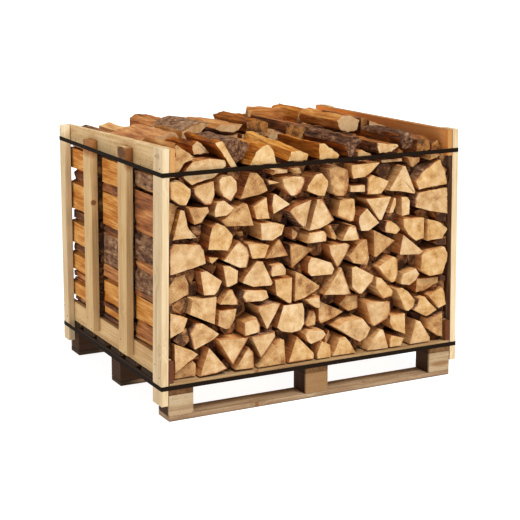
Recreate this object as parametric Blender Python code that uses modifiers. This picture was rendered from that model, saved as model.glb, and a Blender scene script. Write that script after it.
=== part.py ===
"""A pallet crate of split firewood: a four-way pallet, two slatted side panels, three rows of logs
stacked across it with more logs thrown on top, and two straps around everything.

Metres, +Z up. The origin is on the ground under the middle of the pallet, the open front is at -Y.
"""

import random
from math import radians

import bmesh
import bpy
from mathutils import Matrix, Vector

CM = 0.01
GAP = 0.0003

# Pallet
PALLET_LENGTH = 1.2
PALLET_DEPTH = 1.0
BOTTOM_BOARD_WIDTH = 0.092
BOTTOM_BOARD_THICKNESS = 0.018
BLOCK_WIDTH = 0.095
BLOCK_HEIGHT = 0.077
STRINGER_THICKNESS = 0.023
DECK_BOARDS = 7
DECK_BOARD_WIDTH = 0.1
DECK_BOARD_THICKNESS = 0.021

# Side panels, with their boards on the inside of the posts
POST_THICKNESS = 0.028
POST_WIDTH = 0.077
BACK_LEFT_POST_WIDTH = 0.052
POST_BOTTOM = 0.058
POST_TOP = 0.969
LEFT_PANEL_DROP = 0.022
SLAT_WIDTH = 0.081
BOARD_THICKNESS = 0.02
RAIL_HEIGHT = 0.1
LOW_BOARD_HEIGHT = 0.081
# How far the panels' tops lean in over the pallet's ends; the left panel's back stays upright
PANEL_LEAN = 0.014
# Where each panel's two middle slats stand from front to back, and their lower and upper ends
SLATS = {"front": (-0.144, 0.16, 0.933), "back": (0.201, 0.165, 0.919)}

# Straps
STRAP_WIDTH = 0.0155
STRAP_THICKNESS = 0.0008
STRAP_CORNER_RADIUS = 0.0015
STRAP_CORNER_STEPS = 2
UPPER_STRAP_HEIGHT = 0.891
UPPER_STRAP_RISE_TO_RIGHT = 0.005
UPPER_STRAP_RISE_TO_BACK = 0.007
LOWER_STRAP_HEIGHT = 0.123

# Stack: each row is a block of packed logs whose outer logs stand proud of it
ROW_FRONT_TO_BACK = {"front": (-0.494, -0.175), "middle": (-0.165, 0.15), "back": (0.165, 0.49)}
ROW_CORE_HALF_WIDTH = 0.55
ROW_CORE_BOTTOM = 0.015
ROW_CORE_TOP = 0.746
END_RELIEF = {"front": 0.058, "middle": 0.014, "back": 0.058}
LOG_CLEARANCE = 0.0012
LOG_END_SCATTER = 0.006

EDGE_ROUNDING = 0.0015

BOTTOM_BOARD_TOP = BOTTOM_BOARD_THICKNESS
BLOCK_TOP = BOTTOM_BOARD_TOP + BLOCK_HEIGHT
STRINGER_TOP = BLOCK_TOP + STRINGER_THICKNESS
DECK_TOP = STRINGER_TOP + DECK_BOARD_THICKNESS
HALF_LENGTH = PALLET_LENGTH / 2
HALF_DEPTH = PALLET_DEPTH / 2

# Each outline below is one split log seen from the front: how far its end is set back from the
# row's face, then its corners across and up from the middle of the deck, all in centimetres.
LEFT_COLUMN_FRONT = [
    (0, (-57.4, 14), (-50.2, 10.5), (-47.7, 8.8), (-57, 3.2)),
    (2, (-56.5, 2.6), (-49.3, 6.6), (-48.1, 5), (-48.2, 0.4), (-56.6, 0.3)),
    (0, (-58.8, 25.2), (-51.9, 22.6), (-53.6, 18.2), (-58.8, 16)),
    (2, (-58.8, 33.8), (-56.4, 37.4), (-52, 38), (-50.5, 34), (-50.6, 30.6), (-58.8, 27.2)),
    (0, (-58.8, 47.6), (-57.4, 49.6), (-47, 48.4), (-45.5, 46.4), (-45.1, 43.2), (-44.6, 41.4),
     (-50, 40.3), (-56.2, 38.9), (-58.8, 38.6)),
    (2, (-58.6, 64.6), (-54.2, 62.4), (-54.9, 61.8), (-57.8, 51.6), (-58.6, 54)),
    (0, (-54.6, 61.4), (-53, 61.1), (-51.4, 54.6), (-48.2, 51), (-57.4, 51)),
    (0, (-58.6, 71.4), (-54.4, 71.6), (-50.4, 68.4), (-50.4, 65.8), (-52.2, 62.8), (-54.6, 63),
     (-58.4, 66)),
]
LEFT_COLUMN_MIDDLE = [
    (0, (-57.3, 0.4), (-57.3, 10.2), (-58.5, 10.8), (-58.5, 13.8), (-52, 12.6), (-48.4, 8.6), (-48.4, 0.4)),
    (0, (-58.5, 15.4), (-58.5, 23.6), (-55, 24.6), (-52.6, 21.6), (-52.4, 17), (-54, 14.8)),
    (0, (-58.5, 30.5), (-58.5, 42.5), (-55, 44), (-48.6, 40.6), (-48.2, 34), (-51.2, 30.2), (-56, 28.4)),
    (0, (-58.5, 45.8), (-58.5, 58.6), (-53, 59.2), (-51.9, 57.2), (-51, 50.6), (-53, 46.8)),
    (0, (-50.4, 49.8), (-45.4, 48.8), (-45.2, 45), (-46.4, 41.8), (-51.8, 44.2), (-52.4, 46.2)),
    (0, (-58.5, 62.4), (-58.5, 71.8), (-54.4, 72.2), (-51, 68.4), (-51, 65.8), (-52.6, 62.8)),
]
LEFT_COLUMN_BACK = [
    (0, (-57.3, 0.4), (-57.3, 8.8), (-50, 9.6), (-48, 7.6), (-48.6, 0.4)),
    (0, (-59.7, 10.9), (-59.7, 16.4), (-55.5, 18.6), (-52.8, 17.2), (-51.6, 11.6), (-55, 10.5)),
    (0, (-59.7, 21.8), (-59.7, 28.4), (-55, 30.6), (-51, 30.4), (-51.8, 28.6), (-52.8, 23.6), (-56, 21)),
    (0, (-59.6, 33), (-59.6, 41.6), (-54, 43.2), (-48.4, 40.4), (-48.2, 34), (-52, 32.4)),
    (0, (-50.4, 49.6), (-45.4, 48.8), (-45.2, 45), (-46.4, 41.8), (-51.8, 44.2), (-52.4, 46.2)),
    (0, (-59.5, 47), (-59.5, 57.6), (-54, 59.2), (-51.9, 57.2), (-51, 50.6), (-53.4, 47.4)),
    (0, (-59.4, 63.5), (-59.4, 71.8), (-54.4, 71.6), (-50.8, 68.4), (-50.8, 65.8), (-52.6, 62.8)),
]
LOWER_COURSES = [
    (0, (-43.8, 10.8), (-47.6, 0.5), (-41, 0.8), (-36.4, 2)),
    (0, (-40.2, 13), (-27.8, 12.4), (-34.3, 2.9)),
    (0, (-28, 9), (-33.3, 0.9), (-25.4, 0.5), (-25.9, 6.7)),
    (0, (-27, 12.7), (-17.2, 13.4), (-17, 11.3), (-22.7, 3.9)),
    (0, (-15.2, 9.8), (-13.3, 9.6), (-12.5, 0.4), (-24.2, 0.4), (-22.2, 2.7)),
    (0, (-7.9, 10.2), (-11.6, 0.4), (-0.5, 0.4), (-0.7, 2.8), (-3, 5.2)),
    (0, (-4.6, 10.3), (-3.4, 11.9), (3.4, 11), (4.4, 9.2), (2.7, 7.6), (-2.1, 6.4), (-3.6, 7.8)),
    (0, (2.3, 6.8), (6.1, 5.2), (6.4, 0.4), (0.6, 0.4), (0.4, 2.6)),
    (0, (10.3, 7.1), (12.7, 7.3), (14.7, 5.1), (17.5, 0.4), (7.4, 0.4)),
    (5, (7, 2.9), (9.5, 7.1), (8.6, 9.4), (6.9, 6)),
    (0, (8.7, 11.3), (12.4, 13.4), (20.2, 13.5), (23.8, 9.2), (22, 5.8), (19, 4.5), (15.1, 6.8)),
    (0, (28, 8), (29.8, 7.7), (31.8, 1), (31.6, 0.4), (22.6, 0.4), (23.4, 3)),
    (0, (33.4, 5), (39.1, 3.4), (37.7, 0.4), (32.8, 0.4), (32.7, 3.6)),
    (0, (32.9, 13), (39.6, 13), (39.8, 4.7), (34.4, 7.2), (32.8, 9.9)),
    (0, (21.4, 19.6), (32.2, 18.6), (32.6, 15), (31.4, 12), (25.5, 9.5), (24.2, 11.1)),
    (0, (35.1, 23), (37.9, 23.3), (40.6, 21.6), (44.1, 17.7), (43.3, 15.1), (41.1, 13.7), (39.7, 14)),
    (0, (45.8, 18.2), (48.7, 18.5), (54.3, 12.6), (49.4, 10.5), (43.2, 14), (44.8, 15.6)),
    (0, (50.3, 18.7), (56.3, 21.6), (57.6, 19.3), (58.4, 14.3), (55, 13.1)),
    (0, (50.2, 9.6), (57.2, 11.7), (57.3, 9.4), (57.2, 1.4), (54.8, 2.2), (50.2, 5.6)),
    (0, (44.7, 9.6), (46.8, 9), (51.4, 2), (51.2, 0.4), (41.7, 0.4), (43.2, 5.4)),
    (3, (2.8, 21.9), (13.9, 16.1), (9.2, 14.1), (3.9, 12.8), (2.8, 14.6)),
    (3, (14.9, 22.4), (20, 21.8), (20, 16.8), (15.8, 16.1), (11.8, 19.4)),
    (0, (-4.3, 23.6), (1.5, 24.4), (2.2, 19.5), (0, 20), (-3.1, 22.2)),
    (2, (-1.8, 18.9), (0.3, 18.7), (1, 16), (0.7, 12.9), (-2.9, 12.9), (-3.8, 14.3)),
    (0, (-13.7, 22.6), (-5.7, 22.6), (-4.8, 20), (-4.7, 14.5), (-6.1, 12.2), (-10, 11.7), (-14.3, 12.8),
     (-16.3, 14.6)),
    (0, (-24.7, 23.6), (-18, 24.5), (-14.7, 23.6), (-20.3, 14.3)),
    (0, (-29.7, 18.1), (-24.7, 19.5), (-23.2, 16.6), (-23.4, 13.8), (-29.5, 13.2)),
    (0, (-39.6, 23.6), (-32.7, 23.6), (-33.4, 20), (-35.7, 16.8), (-37.1, 16.6), (-40.3, 18.3)),
    (0, (-50.2, 29.1), (-40.7, 29), (-41.6, 19), (-51.4, 23.8)),
    (0, (-48.8, 20.3), (-46, 19.9), (-39.7, 15.3), (-42.2, 13.4), (-49, 10.7), (-49.8, 11), (-51.3, 17)),
]
MIDDLE_COURSES = [
    (0, (-47.1, 38.6), (-44.6, 38.9), (-38.5, 34.5), (-40, 31.5), (-41.5, 29.9), (-45.9, 30.1)),
    (0, (-39.5, 26), (-36.1, 30.7), (-34.3, 30.9), (-32.4, 27), (-32.2, 25)),
    (0, (-38, 39.9), (-35.4, 39.6), (-32, 37.5), (-32.3, 33), (-35.5, 31.9), (-36.7, 32)),
    (0, (-24.7, 40.3), (-22.3, 39.9), (-18.3, 31.6), (-19, 30.7), (-26.2, 30.9), (-30.4, 32.8),
     (-29.8, 34.7)),
    (0, (-29.7, 30.1), (-20.9, 29.1), (-20, 26.3), (-22.7, 25.4), (-29.3, 25.6), (-30.7, 27.9)),
    (0, (-18.8, 38), (-14.3, 38.3), (-12.6, 36), (-12.6, 33.9), (-18.3, 33.8), (-19.1, 35.4)),
    (0, (-17.6, 32.6), (-10.2, 32.8), (-10.3, 23.2), (-11.6, 23.2), (-16.8, 26.8)),
    (0, (-8.9, 34.7), (-6.5, 33.7), (1.3, 28.3), (1.2, 27.3), (-5, 24.4), (-9.2, 23.5)),
    (0, (-2.5, 39.4), (0, 38.8), (6.4, 36.4), (7.8, 33.9), (6.8, 31.9), (-2.3, 32.2), (-3.8, 33.9),
     (-3.8, 37.1)),
    (0, (5, 43), (12.3, 43.4), (14.3, 42.3), (12.8, 39.2), (9.3, 34.3), (8.7, 34.6), (5.8, 39.7)),
    (0, (9.9, 33.4), (10.9, 34.1), (15, 23.4), (3.4, 24.5)),
    (0, (15.3, 33.5), (17.2, 33.9), (24.9, 29.6), (24.7, 27.4), (20.1, 22.9), (18.6, 23.3), (15.6, 26)),
    (0, (26.2, 28.5), (28.5, 28.1), (33.7, 22.8), (33.5, 20.5), (29.5, 19.9), (25.9, 24.9)),
    (0, (26.8, 32.6), (33.8, 35.9), (35.8, 34.8), (35.9, 28.8), (34.8, 26.2), (33.1, 25.9), (29.2, 29.7)),
    (0, (38.1, 28.8), (43.9, 30.3), (45.7, 27.9), (44, 25.6), (41.1, 23.9), (37.2, 24.8), (37, 26.4)),
    (0, (46.2, 34.9), (47.2, 36.3), (56.9, 37.7), (58.5, 34.9), (58.3, 31.6), (56.4, 26.7), (50.1, 26.5),
     (45.9, 29.4)),
    (2, (45.8, 25.7), (50, 25.4), (56, 25.2), (56.2, 23.1), (50.3, 20.5), (45.6, 20.1)),
    (0, (37.6, 44.2), (39.7, 42.5), (47.3, 36.6), (45.7, 35.5), (36.2, 36.4)),
    (0, (37.8, 50), (47.2, 49.7), (47.4, 41.8), (44, 40.9), (40.4, 43.6), (38.2, 46.9)),
    (0, (48.6, 49.1), (54.3, 47.5), (58.5, 44.4), (55.9, 40.8), (48.8, 40.5), (48.4, 42)),
    (0, (30.3, 49.9), (32.7, 49.6), (35.6, 47.6), (36.7, 46), (34.9, 44.4), (29.6, 45.6), (29.4, 47.6)),
    (1, (25.2, 46.8), (28.7, 45), (35, 41.8), (31, 39.1), (26.6, 36.3), (25.6, 36.5)),
    (0, (19.7, 43.6), (22, 43.6), (23, 36.4), (22, 33.7), (15.9, 35.2), (13.8, 38)),
    (0, (13.8, 49.2), (16.7, 49.3), (18.6, 43.7), (10.6, 44.2)),
    (0, (5.1, 50.3), (6.1, 50.5), (8.6, 45.8), (8, 44.8), (6.3, 45.6)),
    (4, (7.2, 50.3), (12.2, 49.9), (9.6, 45.5)),
    (0, (-2.9, 48.4), (2.9, 48.7), (4, 47.5), (3.8, 44.8), (-4, 44.6), (-4.4, 46)),
    (1, (-9.8, 50.5), (-7.6, 49.2), (-7.3, 48), (-8.5, 46.5), (-9.8, 46.5)),
    (0, (-23.4, 53.8), (-19, 53.9), (-13.5, 52.4), (-14.6, 49), (-18.4, 47.2), (-23, 47.8)),
    (1, (-15.7, 47), (-14.7, 47.1), (-11.1, 40.6), (-20.6, 40.5)),
    (2, (-10.3, 44.5), (-6.7, 44.1), (-0.6, 42.1), (-2.8, 40.3), (-8.8, 35.8), (-9.7, 36.3)),
    (0, (-28.4, 46.9), (-23, 46.5), (-19.7, 45.7), (-21.7, 41.1), (-26.7, 41.4)),
    (3, (-31.4, 50.9), (-28.8, 51.1), (-28.6, 49.5), (-30.1, 49)),
    (0, (-31.8, 48.5), (-28.4, 45.6), (-27.4, 42.8), (-28.5, 38.2), (-31.5, 38.5), (-35.7, 40.6),
     (-37.9, 41.6)),
    (1, (-43.4, 43.5), (-39.5, 42.8), (-42, 40.9), (-43, 41.6)),
    (0, (-40.3, 55.6), (-37.1, 54), (-34.2, 50.5), (-34.8, 47.9), (-36.3, 45.3), (-43.9, 46.2),
     (-43.3, 50.4), (-42.1, 54.2)),
    (0, (21.4, 55.6), (25.7, 51), (26.9, 49.6), (24.9, 48.4), (22.4, 46.9), (19.1, 47.1),
     (17.9, 50.4), (18.2, 52.9)),
]
UPPER_COURSES = [
    (0, (-51.6, 61.8), (-44, 61.6), (-43.5, 59.9), (-46.5, 56.3), (-49.2, 55.7), (-50.2, 58.4)),
    (2, (-49.9, 54.8), (-45.8, 55.2), (-45.8, 52.1), (-46.9, 51.3), (-49.2, 52.5)),
    (0, (-49.2, 68.3), (-47.6, 69.3), (-41.6, 70.5), (-41.4, 65.6), (-42.7, 62.3), (-45.2, 62.4),
     (-47.2, 64.3), (-49, 66.1)),
    (0, (-39.6, 70.6), (-38.7, 71.8), (-35.1, 72.1), (-32.8, 69.9), (-32.6, 66.4), (-35, 62.9),
     (-37.9, 64.8), (-39.4, 67.4)),
    (0, (-40.4, 62.8), (-37.6, 63.4), (-33.7, 60.4), (-34.9, 59), (-36.4, 57.8), (-41, 57.6),
     (-41.4, 59.8)),
    (0, (-27.6, 72.7), (-24.9, 72.3), (-22.3, 69.8), (-20.3, 65.5), (-23.2, 64.4), (-31.4, 63.2)),
    (0, (-29.7, 61.9), (-28.5, 61.3), (-26, 53.3), (-36.9, 54), (-38.1, 55.9)),
    (0, (-26.1, 60.1), (-20.6, 63.1), (-20, 58), (-19.4, 55.2), (-24.8, 55.4)),
    (0, (-18.2, 63.7), (-17.2, 64.1), (-11.2, 59.8), (-18, 56.7), (-18.6, 60)),
    (0, (-11.7, 57.1), (-9.7, 58.6), (-2.5, 60.8), (-5, 50.7), (-5.6, 50.5), (-7.9, 52.4)),
    (0, (0.4, 60.5), (2.5, 60.5), (7.4, 52.4), (4.5, 51), (1.4, 49.7), (-3.2, 49.2)),
    (0, (9.5, 59.4), (15.7, 59.6), (16.3, 55), (15.8, 51.2), (14.1, 51), (8.1, 53.8)),
    (0, (14.2, 64.4), (20.4, 64.4), (20.4, 61.8), (14, 62.2)),
    (0, (14.3, 72.4), (26.8, 72.5), (22.9, 69), (20, 67.4), (15.1, 67.1), (14.4, 69.6)),
    (0, (5.2, 71.4), (8.4, 72.5), (13.2, 70.4), (13.4, 64.9), (12.6, 62.2), (11.3, 60.9), (8.9, 61),
     (6.8, 62.5), (5.6, 67)),
    (0, (-0.7, 69.8), (1.9, 70.3), (4.7, 67), (4.4, 64.9), (3.1, 61.7), (0.3, 62), (-4.2, 64.1),
     (-3.8, 65.9)),
    (0, (-14.4, 69.1), (-9.6, 69.7), (-5.2, 69.2), (-5, 67.4), (-6.7, 63.8), (-8.5, 62.7), (-10.7, 62.8),
     (-13.6, 66.1)),
    (0, (-21, 69.6), (-15.4, 68), (-20, 67.5)),
    (1, (-9.8, 72.6), (-6.8, 72.6), (-5.9, 70.5), (-8.9, 70.6)),
    (3, (-16.6, 72.3), (-10.8, 72.1), (-10.6, 70.7), (-16.6, 70.7)),
    (0, (-19.4, 72.2), (-17.4, 72.4), (-17.4, 71), (-18.3, 70.8)),
    (0, (21.4, 67), (23.8, 67.9), (30.9, 65.1), (29.6, 63), (27.5, 60.6), (21.1, 60.6)),
    (0, (36.9, 70.1), (38.1, 70.3), (42.9, 60.2), (42.5, 59.3), (36.2, 60.7), (30.9, 61.4)),
    (0, (42.5, 64.5), (45.3, 67.8), (49.4, 70.1), (53.9, 71.6), (56.3, 67), (57.5, 61.9), (50, 61.4),
     (44.4, 60.7)),
    (0, (43.9, 59.4), (50, 60.1), (57.6, 60.5), (58.2, 50.3), (51, 51.7), (42.9, 54), (42.7, 57.6)),
    (0, (36.6, 58.6), (39.5, 58.3), (40.6, 56.9), (40.4, 51.6), (36.9, 51.2)),
    (0, (21, 59), (32.1, 59.1), (28.1, 50.5), (27, 50.5)),
    (0, (33.4, 58.7), (34.3, 58.4), (34.4, 56), (33.1, 52.8), (31.1, 52.7)),
    (4, (30, 72.6), (39.2, 72.6), (39.4, 71.4), (34.8, 71.4), (30, 71.4)),
    (3, (41, 72.8), (46.8, 72.6), (46.6, 70.8), (43.4, 68.9), (42.2, 70)),
]
TOP_COURSE_FRONT = [
    (0, (49.2, 71.6), (49.8, 74), (54.4, 73.6), (52.6, 72.6)),
    (0, (-53.4, 72.6), (-52, 75.4), (-49.4, 77.8), (-43, 78.4), (-36.8, 77.6), (-36.4, 75.4), (-41.4, 71.5),
     (-47.8, 70.5), (-50, 69.6)),
    (0, (16.9, 77), (18.6, 77.8), (23.4, 75.6), (22, 73.4), (16.9, 73.4)),
    (1, (34.2, 74), (35.8, 77), (38, 75.6), (37.4, 73.6)),
    (2, (44.2, 74), (44.6, 79.4), (47.4, 81), (50.6, 79), (51, 75.6), (48.8, 74.6)),
    (3, (51.8, 74.3), (51.8, 77.4), (54.6, 78.6), (56.4, 77), (56.4, 74), (55.2, 73.9)),
]
TOP_COURSE_MIDDLE = [
    (0, (-38.6, 73.8), (-38.8, 79.4), (-32.6, 79.2), (-31, 73.8)),
    (0, (-29.8, 73.8), (-30.2, 82), (-25, 82.4), (-23.6, 73.8)),
    (0, (-22.8, 73.8), (-23.4, 81.8), (-18.2, 81.4), (-15.4, 81.8), (-14.6, 73.8)),
    (0, (-13.6, 73.8), (-13.8, 81.4), (-4.2, 80.6), (-3.6, 73.8)),
    (0, (-2.8, 73.8), (-2.6, 80), (0, 82.6), (3.8, 81), (3.6, 73.8)),
    (0, (4.6, 73.8), (5.2, 85), (10.2, 83), (17.4, 82.8), (18.4, 79), (15, 73.8)),
    (0, (19.4, 73.8), (19.2, 79.4), (26.2, 80.4), (27.4, 78), (27.6, 73.8)),
    (0, (28.6, 73.8), (28.4, 78.8), (31.6, 78.4), (36.6, 78.8), (37.6, 73.8)),
    (0, (38.6, 73.8), (38.6, 85), (41.4, 84.8), (42.2, 80), (42, 73.8)),
    (0, (43, 73.8), (42.8, 83.6), (50.4, 80.9), (49.6, 79.6), (46, 73.8)),
    (0, (51, 73.8), (51.6, 78.6), (54, 79.6), (56.4, 78.4), (56.4, 73.8)),
]
TOP_COURSE_BACK = [
    (0, (-57.2, 73.8), (-57.4, 79), (-52, 80.4), (-47.6, 79), (-47, 73.8)),
    (0, (-46.2, 73.8), (-46.4, 79.6), (-42, 80.8), (-38.6, 79), (-38.4, 73.8)),
    (0, (-37.6, 73.8), (-37.6, 78.2), (-29.6, 78.4), (-28.8, 73.8)),
    (0, (-27.8, 73.8), (-28, 80.6), (-21, 81.6), (-20, 73.8)),
    (0, (-19.2, 73.8), (-19, 80.4), (-12.6, 81), (-11.6, 73.8)),
    (0, (-10.8, 73.8), (-11, 79.4), (-4, 79), (-3.6, 73.8)),
    (0, (-2.8, 73.8), (-3, 78.8), (4.4, 79.2), (5, 73.8)),
    (0, (5.8, 73.8), (5.6, 79.6), (13, 79.8), (13.6, 73.8)),
    (0, (14.4, 73.8), (14.2, 79.8), (22, 79.4), (22.6, 73.8)),
    (0, (23.4, 73.8), (23.2, 78.2), (29.8, 78.6), (30.4, 73.8)),
    (0, (31.2, 73.8), (31.2, 78.4), (38, 78.8), (38.6, 73.8)),
    (0, (39.4, 73.8), (39, 82), (45, 83), (47.6, 78), (47, 73.8)),
    (0, (48.4, 73.8), (48.8, 78), (52.6, 81), (56.4, 79.6), (56.4, 73.8)),
]

# Logs that lie loose on the stack: name, front and back end of the log, corners as above, then how
# far its back end is swung to the left and lifted, all in centimetres.
TOP_LOGS = [
    ("front_corner", -49.2, -18, ((-56.4, 85), (-54.6, 83.4), (-48.4, 79.1), (-52.5, 77.6), (-54.8, 74.9),
                                  (-56.6, 73.8)), 0, 0),
    ("front_brown", -42, -18, ((-46, 79), (-46.6, 82.4), (-44.6, 83.8), (-42.6, 82.6), (-40, 79.4)), 0, 0),
    ("front_slab", -49.2, -18.5, ((-41.4, 83.8), (-38.4, 84.6), (-35.4, 79.8), (-32.4, 74.9), (-35, 74.9),
                                  (-37.6, 79)), 0, 0),
    ("front_bark", -45, -19, ((-37, 83.4), (-29.6, 84.2), (-26.4, 82.6), (-25.6, 80.8), (-28.6, 76.8),
                              (-31.4, 75.2), (-33, 77.4)), 0, 0),
    ("front_pale", -49.2, -20, ((-27.8, 75), (-25.1, 79.6), (-22.8, 81.5), (-20.4, 82), (-18.1, 79.8),
                                (-17, 75)), 0, 0),
    ("front_askew", -48.6, -18, ((-12, 75.3), (-10.5, 78.6), (-6.6, 79), (-1.6, 76.6), (-2, 75.2)), 4.2, 4),
    ("front_wedge", -49.2, -17.5, ((0.5, 81.1), (2.9, 81), (9.3, 76.4), (8.6, 75.1), (0.5, 75.1)), 0, 0),
    ("front_dark", -49, -17.8, ((13.3, 75.3), (15.4, 75.5), (16.2, 78.7), (18.9, 80.8), (17.5, 82.7),
                                (13.4, 82.8), (11.3, 80)), 0, 0),
    ("front_flat", -48.6, -19, ((25.4, 79.8), (34.6, 78.7), (35.1, 77.8), (32.1, 75.9),
     (26.2, 75.8)), 0, 0),
    ("front_right", -46.4, -18.4, ((37, 78.9), (37.6, 82), (41.6, 82.6), (43.6, 80), (42.4, 76.6),
                                   (38.4, 76.2)), 0, 0),
    ("middle_long", -17, 14.6, ((-55.6, 75.4), (-55.4, 81), (-46, 83.6), (-41.6, 83.8), (-39.9, 82.2),
                                (-41, 78.2), (-43.6, 75.2)), 0, 0),
    ("middle_bark", -17, 11, ((-39.4, 80.6), (-39.2, 84.2), (-35.4, 86), (-30.8, 87.2), (-27.7, 86.6),
                              (-30.6, 84.2), (-32.4, 80.2)), 0, 0),
    ("middle_pale", -17, 12, ((-26.4, 84.4), (-23.2, 85.8), (-14, 85.3), (-15.2, 83.4), (-17.9, 82.4),
                              (-23.3, 83.2)), 0, 0),
    ("middle_red", -17, 13, ((-12.6, 82.4), (-12.2, 86), (-7.4, 87.2), (-3.2, 85.4), (-3.6, 81.6)), 0, 0),
    ("middle_round", -17.4, 14, ((27.2, 84.4), (29.4, 86.2), (32.5, 86.5), (37.4, 84.3), (36.5, 80.2),
     (31.7, 79.5), (28.2, 81)), 0, 0),
    ("back_left", 15.5, 39, ((-37.4, 79.2), (-37.6, 82.6), (-33, 85.6), (-29.8, 84.4), (-29, 80)), 0, 0),
    ("back_ridge", 15.6, 43, ((-2.4, 79.8), (-2.4, 81.6), (1, 83.6), (4.9, 86.2), (4, 80.2)), -6.5, 0),
    ("back_round", 16.4, 40, ((27.6, 79.4), (28.3, 82), (29.4, 84.8), (33, 85.8), (36.6, 84.4),
     (36.4, 79.8)), 0, 0),
]
# The log that lies crosswise at the back: the middle of its underside, its length and section, and
# its turn away from straight across
CROSSWISE_LOG_PLACE = (0.183, 0.27, DECK_TOP + 0.803)
CROSSWISE_LOG_LENGTH = 0.142
CROSSWISE_LOG_SECTION = ((-4.6, 0), (-3.8, 4.6), (0.4, 6.2), (4.2, 3.4), (4.4, 0))
CROSSWISE_LOG_TURN = -0.3

WOOD = {
    "pallet_pine": ((0.55, 0.38, 0.2), 0.75),
    "block_pine": ((0.5, 0.33, 0.17), 0.8),
    "stringer_pine": ((0.36, 0.18, 0.07), 0.8),
    "panel_pine": ((0.72, 0.55, 0.34), 0.7),
    "split_wood": ((0.52, 0.29, 0.12), 0.85),
}
STRAP_COLOUR = (0.02, 0.018, 0.012)
STRAP_ROUGHNESS = 0.4


def clear_scene():
    for obj in list(bpy.data.objects):
        bpy.data.objects.remove(obj, do_unlink=True)


def make_collection(name):
    collection = bpy.data.collections.new(name)
    bpy.context.scene.collection.children.link(collection)
    return collection


def make_material(name, colour, roughness):
    material = bpy.data.materials.new(name)
    material.use_nodes = True
    shader = material.node_tree.nodes["Principled BSDF"]
    shader.inputs["Base Color"].default_value = (*colour, 1)
    shader.inputs["Roughness"].default_value = roughness
    shader.inputs["Metallic"].default_value = 0
    return material


def wood_material(name, kind):
    colour, roughness = WOOD[kind]
    return make_material(name, colour, roughness)


def object_from(bm, name, material, collection):
    bmesh.ops.recalc_face_normals(bm, faces=bm.faces)
    mesh = bpy.data.meshes.new(name)
    bm.to_mesh(mesh)
    bm.free()
    mesh.materials.append(material)
    obj = bpy.data.objects.new(name, mesh)
    collection.objects.link(obj)
    return obj


def extrude(bm, faces, offset):
    """Pulls a flat shape out into a closed solid of one thickness."""
    grown = bmesh.ops.extrude_face_region(bm, geom=faces)["geom"]
    end = [item for item in grown if isinstance(item, bmesh.types.BMVert)]
    bmesh.ops.translate(bm, vec=offset, verts=end)


def round_edges(obj):
    bevel = obj.modifiers.new("Edges", "BEVEL")
    bevel.width = EDGE_ROUNDING
    bevel.segments = 1


def plank(name, kind, low, high, collection):
    """A board or block between two opposite corners, with its origin at its middle."""
    size = Vector(high) - Vector(low)
    bm = bmesh.new()
    bmesh.ops.create_cube(bm, size=1, matrix=Matrix.Diagonal((*size, 1)))
    obj = object_from(bm, name, wood_material(name, kind), collection)
    obj.location = (Vector(low) + Vector(high)) / 2
    round_edges(obj)
    return obj


def build_pallet(collection):
    places_across = {"left": -1, "centre": 0, "right": 1}
    places_deep = {"front": -1, "middle": 0, "back": 1}
    across = HALF_LENGTH - BLOCK_WIDTH / 2
    deep = HALF_DEPTH - BOTTOM_BOARD_WIDTH / 2
    for row, side in places_deep.items():
        y = side * deep
        near = y - BOTTOM_BOARD_WIDTH / 2
        far = y + BOTTOM_BOARD_WIDTH / 2
        plank(f"bottom_board_{row}", "pallet_pine", (-HALF_LENGTH, near, 0),
              (HALF_LENGTH, far, BOTTOM_BOARD_TOP), collection)
        for column, offset in places_across.items():
            left = offset * across - BLOCK_WIDTH / 2
            plank(f"block_{row}_{column}", "block_pine", (left, near, BOTTOM_BOARD_TOP + GAP),
                  (left + BLOCK_WIDTH, far, BLOCK_TOP), collection)
    for column, offset in places_across.items():
        left = offset * across - BLOCK_WIDTH / 2
        plank(f"stringer_{column}", "stringer_pine", (left, -HALF_DEPTH, BLOCK_TOP + GAP),
              (left + BLOCK_WIDTH, HALF_DEPTH, STRINGER_TOP), collection)
    pitch = (PALLET_DEPTH - DECK_BOARD_WIDTH) / (DECK_BOARDS - 1)
    for index in range(DECK_BOARDS):
        near = -HALF_DEPTH + index * pitch
        plank(f"deck_board_{index + 1}", "pallet_pine", (-HALF_LENGTH, near, STRINGER_TOP + GAP),
              (HALF_LENGTH, near + DECK_BOARD_WIDTH, DECK_TOP), collection)


def lower_back_top(obj, drop):
    """Slopes a board's upper edge so that it runs down towards the back."""
    for vertex in obj.data.vertices:
        if vertex.co.z > 0 and vertex.co.y > 0:
            vertex.co.z -= drop


def lean_in(obj):
    """Tips what stands at the pallet's ends inwards about the deck's edge."""
    for vertex in obj.data.vertices:
        x, y, z = obj.location + vertex.co
        share = 1 if x > 0 else 0.5 - y / PALLET_DEPTH
        tip = PANEL_LEAN * share * (z - DECK_TOP) / (POST_TOP - DECK_TOP)
        vertex.co.x -= tip if x > 0 else -tip


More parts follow.
